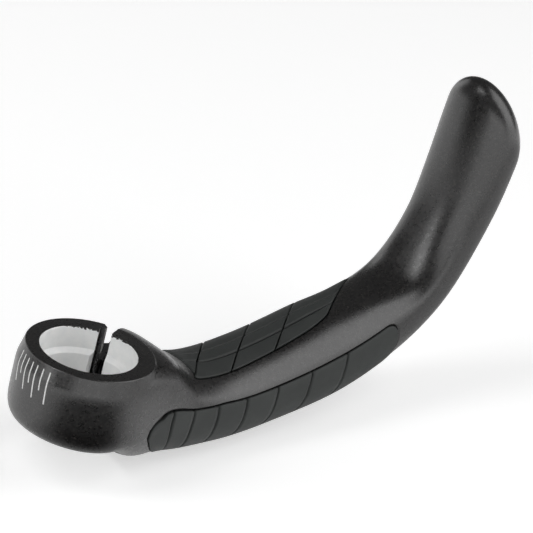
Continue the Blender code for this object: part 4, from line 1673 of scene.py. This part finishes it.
    def lobe_end_cutter(self) -> bpy.types.Object:
        """Cuts the free lobe off square beyond the bolt.

        Returns:
            A closed object.
        """
        plan = np.concatenate([
            self.on_slot(np.array([self.lobe_length, self.slot_reach]), self.bolt.slot_offset),
            self.on_slot(np.array([self.slot_reach, self.lobe_length]), self.skin.heel.half_width),
        ])
        return prism("lobe_end", plan, -self.slot_depth, self.overrun)

    def build(self, pads: list[RubberPad]) -> bpy.types.Object:
        """Cut the casting's flat faces, bore, slot, bolt hole and pad recesses out of the blank.

        Args:
            pads: the pads that sit in recesses.

        Returns:
            The finished body.
        """
        body = self.blank()
        cut(body, self.rim_collar(), "UNION")
        for cutter in (
            self.outer_face_cutter(),
            self.bore_cutter(),
            self.slot_cutter(),
            self.lobe_notch_cutter(),
            self.lobe_end_cutter(),
            self.bolt.hole_cutter(),
            *(pad.recess() for pad in pads),
        ):
            cut(body, cutter)
        body.name = body.data.name = "arm_casting"
        body.data.shade_smooth()
        body.data.set_sharp_from_angle(angle=math.radians(self.sharp_angle))
        return body

    def mark_faces(self, body: bpy.types.Object) -> None:
        """Give the bore's faces the second material and the slot's upright walls the third.

        The bore's faces lie near the axis and face it. The slot's lie beyond it, near its middle line.

        Args:
            body: the finished body.
        """
        count = len(body.data.polygons)
        middle, normal = np.empty(3 * count), np.empty(3 * count)
        body.data.polygons.foreach_get("center", middle)
        body.data.polygons.foreach_get("normal", normal)
        middle, normal = middle.reshape(-1, 3), normal.reshape(-1, 3)
        reach = np.hypot(middle[:, 0], middle[:, 1])
        inward = -(middle[:, :2] * normal[:, :2]).sum(axis=1) / np.maximum(reach, MM)
        bare = (reach < self.mouth_radius + self.mouth_edge) & (inward > self.facing_axis)
        turn = math.radians(self.bolt.slot_azimuth)
        across = middle[:, 1] * math.cos(turn) - middle[:, 0] * math.sin(turn)
        along = middle[:, 0] * math.cos(turn) + middle[:, 1] * math.sin(turn)
        upright = np.abs(normal[:, 2]) < self.level_share
        walled = np.abs(normal[:, 0] * math.sin(turn) - normal[:, 1] * math.cos(turn)) > self.facing_slot
        near = (across > self.slot_band[0]) & (across < self.slot_band[1])
        beyond = (along > self.mouth_radius - self.mouth_overlap) & (middle[:, 0] < self.slot_reach)
        sawn = ~bare & upright & walled & near & beyond
        finish = np.where(bare, 1, np.where(sawn, 2, 0)).astype(np.int32)
        body.data.polygons.foreach_set("material_index", finish)


@dataclass(frozen=True)
class Mark:
    """One line of the scale on the clamp: azimuths of its two ends, and its lower end's height."""

    top_azimuth: float
    low_azimuth: float
    low: float


@dataclass
class AngleScale:
    """Seven printed lines round the clamp's side, long and short by turns."""

    body: CastBody
    top: float = -1.4
    marks: tuple[Mark, ...] = (
        Mark(151.5, 157.1, -8.9),
        Mark(158.7, 162.4, -6.1),
        Mark(165.6, 170.2, -9.2),
        Mark(172.6, 175.6, -6.6),
        Mark(179.1, 182.3, -9.7),
        Mark(186.2, 188.1, -6.8),
        Mark(193.6, 195.3, -9.7),
    )
    width: float = 0.34 * MM
    proud: float = 0.03 * MM
    sunk: float = 0.12 * MM
    rows: int = 24
    columns: int = 5

    def grid(self, mark: Mark, offset: float) -> Array:
        """A mark's points on the clamp's side, or at a distance outside it.

        Args:
            mark: the line.
            offset: distance outside the side.

        Returns:
            A grid of points, from the line's top to its lower end.
        """
        share = np.linspace(0.0, 1.0, self.rows)[:, None]
        across = np.linspace(-0.5, 0.5, self.columns)[None, :] * self.width
        height = (self.top + (mark.low - self.top) * share) * MM + 0 * across
        turn = np.radians(mark.top_azimuth + (mark.low_azimuth - mark.top_azimuth) * share)
        radius, middle = self.body.rim_radius, self.body.rim_offset
        turn = np.arctan2(radius * np.sin(turn), radius * np.cos(turn) - middle) + across / radius
        reach = self.body.side_reach(turn, height) + offset
        return round_axis(reach, height, turn, middle)

    def build(self) -> bpy.types.Object:
        """All the lines as one mesh of thin closed slabs."""
        sides = [[self.grid(mark, self.proud), self.grid(mark, -self.sunk)] for mark in self.marks]
        return joined("angle_scale", [slab("mark", side) for side in sides])


@dataclass(frozen=True)
class Lamp:
    """A soft lamp: its bearing from the camera's own azimuth, its elevation, size, brightness and colour."""

    name: str
    bearing: float
    elevation: float
    width: float
    height: float
    radiance: float
    colour: tuple[float, float, float] = (1.0, 1.0, 1.0)
    distance: float = 1.0


@dataclass(frozen=True)
class Card:
    """A card with soft edges, level or upright across X, which only shows in reflections."""

    name: str
    middle: tuple[float, float, float]
    half: tuple[float, float]
    shade: float
    solid_share: float = 0.35
    upright: bool = False


@dataclass
class Studio:
    """Pale floor, soft lamps, cards for the reflections, and the camera at the photograph's angle."""

    floor_drop: float = -33.0 * MM
    floor_size: float = 6.0
    camera_place: tuple[float, float, float] = (-0.536319, -0.482656, 0.348962)
    azimuth: float = -51.0
    elevation: float = 23.6256
    roll: float = 14.3547
    focal_pixels: float = 3224.377
    frame_pixels: float = 533.0
    sensor: float = 36.0
    clip: tuple[float, float] = (0.01, 50.0)
    middle: tuple[float, float, float] = (0.06, 0.0, 0.0)
    floor_colour: tuple[float, float, float] = (0.82, 0.82, 0.82)
    floor_roughness: float = 0.9
    floor_specular: float = 0.1
    floor_glow: float = 0.5
    horizon_light: float = 0.11
    top_light: float = 0.08
    horizon_top: float = 12.0
    dark_from: float = 45.0
    lamps: tuple[Lamp, ...] = (
        Lamp("left_lamp", -54.0, 36.0, 0.34, 1.15, 3.7),
        Lamp("right_lamp", 93.0, 45.0, 0.95, 1.1, 1.68),
        Lamp("side_lamp", 88.0, 9.0, 1.25, 0.28, 1.15),
        Lamp("front_lamp", 18.0, 8.0, 1.15, 0.5, 1.05),
        Lamp("back_lamp", -136.0, 14.0, 0.5, 0.5, 1.1),
    )
    cards: tuple[Card, ...] = (
        Card("palm_card", (0.32, -0.09, -0.0327), (0.36, 0.17), 0.80, 0.6),
        Card("clamp_card", (-0.029, -0.052, -0.0324), (0.068, 0.064), 0.01, 0.55),
        Card("tip_card", (0.100, 0.002, 0.060), (0.026, 0.048), 0.01, upright=True),
    )

    def camera(self) -> None:
        """Place the camera from its azimuth, elevation and roll."""
        a, e, r = (math.radians(v) for v in (self.azimuth, self.elevation, self.roll))
        back = Vector((math.sin(a) * math.cos(e), -math.cos(a) * math.cos(e), math.sin(e)))
        level = Vector((math.cos(a), math.sin(a), 0.0))
        upright = back.cross(level)
        right = math.cos(r) * level + math.sin(r) * upright
        up = -math.sin(r) * level + math.cos(r) * upright
        data = bpy.data.cameras.new("camera")
        data.sensor_width = self.sensor
        data.lens = self.sensor * self.focal_pixels / self.frame_pixels
        data.clip_start, data.clip_end = self.clip
        camera = linked("camera", data)
        turn = Matrix((right, up, back)).transposed().to_4x4()
        camera.matrix_world = Matrix.Translation(Vector(self.camera_place)) @ turn
        bpy.context.scene.camera = camera

    def floor(self) -> None:
        """A large pale floor, which glows a little for the rays that see it straight or by reflection."""
        floor = rectangle("floor", (0.0, 0.0, self.floor_drop), (self.floor_size, self.floor_size))
        sheet = NodeSheet("floor")
        path = sheet.node("LightPath").outputs
        seen = sheet.maths("MAXIMUM", path["Is Camera Ray"], path["Is Glossy Ray"])
        seen = sheet.maths("MAXIMUM", seen, path["Is Transmission Ray"])
        sheet.set(**{
            "Base Color": self.floor_colour,
            "Roughness": self.floor_roughness,
            "Specular IOR Level": self.floor_specular,
            "Emission Color": (1.0, 1.0, 1.0),
            "Emission Strength": sheet.maths("MULTIPLY", seen, self.floor_glow),
        })
        floor.data.materials.append(sheet.material)
        floor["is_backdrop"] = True

    def card(self, card: Card) -> None:
        """Hold a card at its place, seen by glossy rays alone and fading out towards its edge.

        Args:
            card: the card.
        """
        laid = rectangle(card.name, card.middle, card.half, card.upright)
        sheet = NodeSheet(card.name)
        at = sheet.node("VectorMath", sheet.place, card.middle, operation="SUBTRACT").outputs[0]
        half = (1.0, *card.half) if card.upright else (*card.half, 1.0)
        at = sheet.node("VectorMath", at, half, operation="DIVIDE").outputs[0]
        away = sheet.node("VectorMath", at, operation="LENGTH").outputs["Value"]
        sheet.set(**{
            "Base Color": (card.shade, card.shade, card.shade),
            "Roughness": 1.0,
            "Specular IOR Level": 0.0,
            "Alpha": sheet.spread(away, 1.0, card.solid_share),
        })
        laid.data.materials.append(sheet.material)
        laid.visible_camera = laid.visible_diffuse = laid.visible_shadow = laid.visible_transmission = False
        laid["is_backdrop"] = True

    def lamp(self, lamp: Lamp) -> None:
        """A soft rectangular lamp on a sphere round the object, facing it.

        Args:
            lamp: the lamp.
        """
        azimuth, elevation = math.radians(lamp.bearing + self.azimuth), math.radians(lamp.elevation)
        away = Vector((math.sin(azimuth) * math.cos(elevation), -math.cos(azimuth) * math.cos(elevation),
                       math.sin(elevation)))
        data = bpy.data.lights.new(lamp.name, "AREA")
        data.shape = "RECTANGLE"
        data.size, data.size_y = lamp.width, lamp.height
        data.energy = lamp.radiance * math.pi * lamp.width * lamp.height
        data.color = lamp.colour
        made = linked(lamp.name, data)
        made.location = Vector(self.middle) + lamp.distance * away
        made.rotation_euler = away.to_track_quat("Z", "Y").to_euler()

    def world(self) -> None:
        """A dim plain world, a little lighter round the horizon than overhead, by the direction's height."""
        world = bpy.data.worlds.new("studio")
        world.use_nodes = True
        tree = world.node_tree
        coordinates = tree.nodes.new("ShaderNodeTexCoord")
        split = tree.nodes.new("ShaderNodeSeparateXYZ")
        ramp = tree.nodes.new("ShaderNodeMapRange")
        ramp.interpolation_type = "SMOOTHSTEP"
        ramp.inputs["From Min"].default_value = math.sin(math.radians(self.horizon_top))
        ramp.inputs["From Max"].default_value = math.sin(math.radians(self.dark_from))
        ramp.inputs["To Min"].default_value = self.horizon_light
        ramp.inputs["To Max"].default_value = self.top_light
        tree.links.new(coordinates.outputs["Generated"], split.inputs[0])
        tree.links.new(split.outputs["Z"], ramp.inputs["Value"])
        tree.links.new(ramp.outputs["Result"], tree.nodes["Background"].inputs["Strength"])
        tree.nodes["Background"].inputs["Color"].default_value = (1.0, 1.0, 1.0, 1.0)
        bpy.context.scene.world = world

    def build(self) -> None:
        """Set up everything round the object."""
        bpy.context.scene.view_settings.view_transform = "Standard"
        self.camera()
        self.floor()
        self.world()
        for card in self.cards:
            self.card(card)
        for lamp in self.lamps:
            self.lamp(lamp)


def dress(piece: bpy.types.Object, finishes: list[Finish], node: str) -> None:
    """Give a piece its materials and body, and hide the CAD node that it stands for.

    Args:
        piece: the finished piece.
        finishes: its finishes, in the order of its material slots.
        node: the CAD node that it stands for, or nothing for a detail on another piece.
    """
    piece.data.materials.clear()
    for finish in finishes:
        piece.data.materials.append(finish.material())
    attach(piece, BODY)
    if node:
        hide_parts(node)
    LOG.info("%s: %d faces, stands for %s", piece.name, len(piece.data.polygons), node or "no node")


def corners() -> list[list[float]]:
    """The whole object's box as plain lists."""
    low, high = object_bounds()
    return [list(low), list(high)]


def main() -> None:
    logging.basicConfig(level=logging.INFO, format="%(message)s")
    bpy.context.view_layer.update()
    skin = ArmSkin()
    palm, finger, bolt = PalmPad(skin), FingerPad(skin), ClampBolt()
    casting = CastBody(skin, bolt)
    body = casting.build([palm, finger])
    rubber = MouldedRubber()
    dress(body, [SatinPaint(), BareAluminium(), SawnFace()], "arm_body")
    casting.mark_faces(body)
    dress(AngleScale(casting).build(), [PrintedWhite()], "")
    dress(palm.build(), [rubber], "palm_pad")
    dress(finger.build(), [rubber], "finger_pad")
    black = TurnedSteel("black_steel", (0.05, 0.05, 0.052), (0.3, 0.45), metallic=0.9)
    bright = TurnedSteel("bright_steel", (0.62, 0.63, 0.64), (0.22, 0.38))
    dress(bolt.build(), [black], "clamp_bolt")
    dress(bolt.washer(), [bright], "clamp_washer")
    Studio().build()


if __name__ == "__main__":
    main()
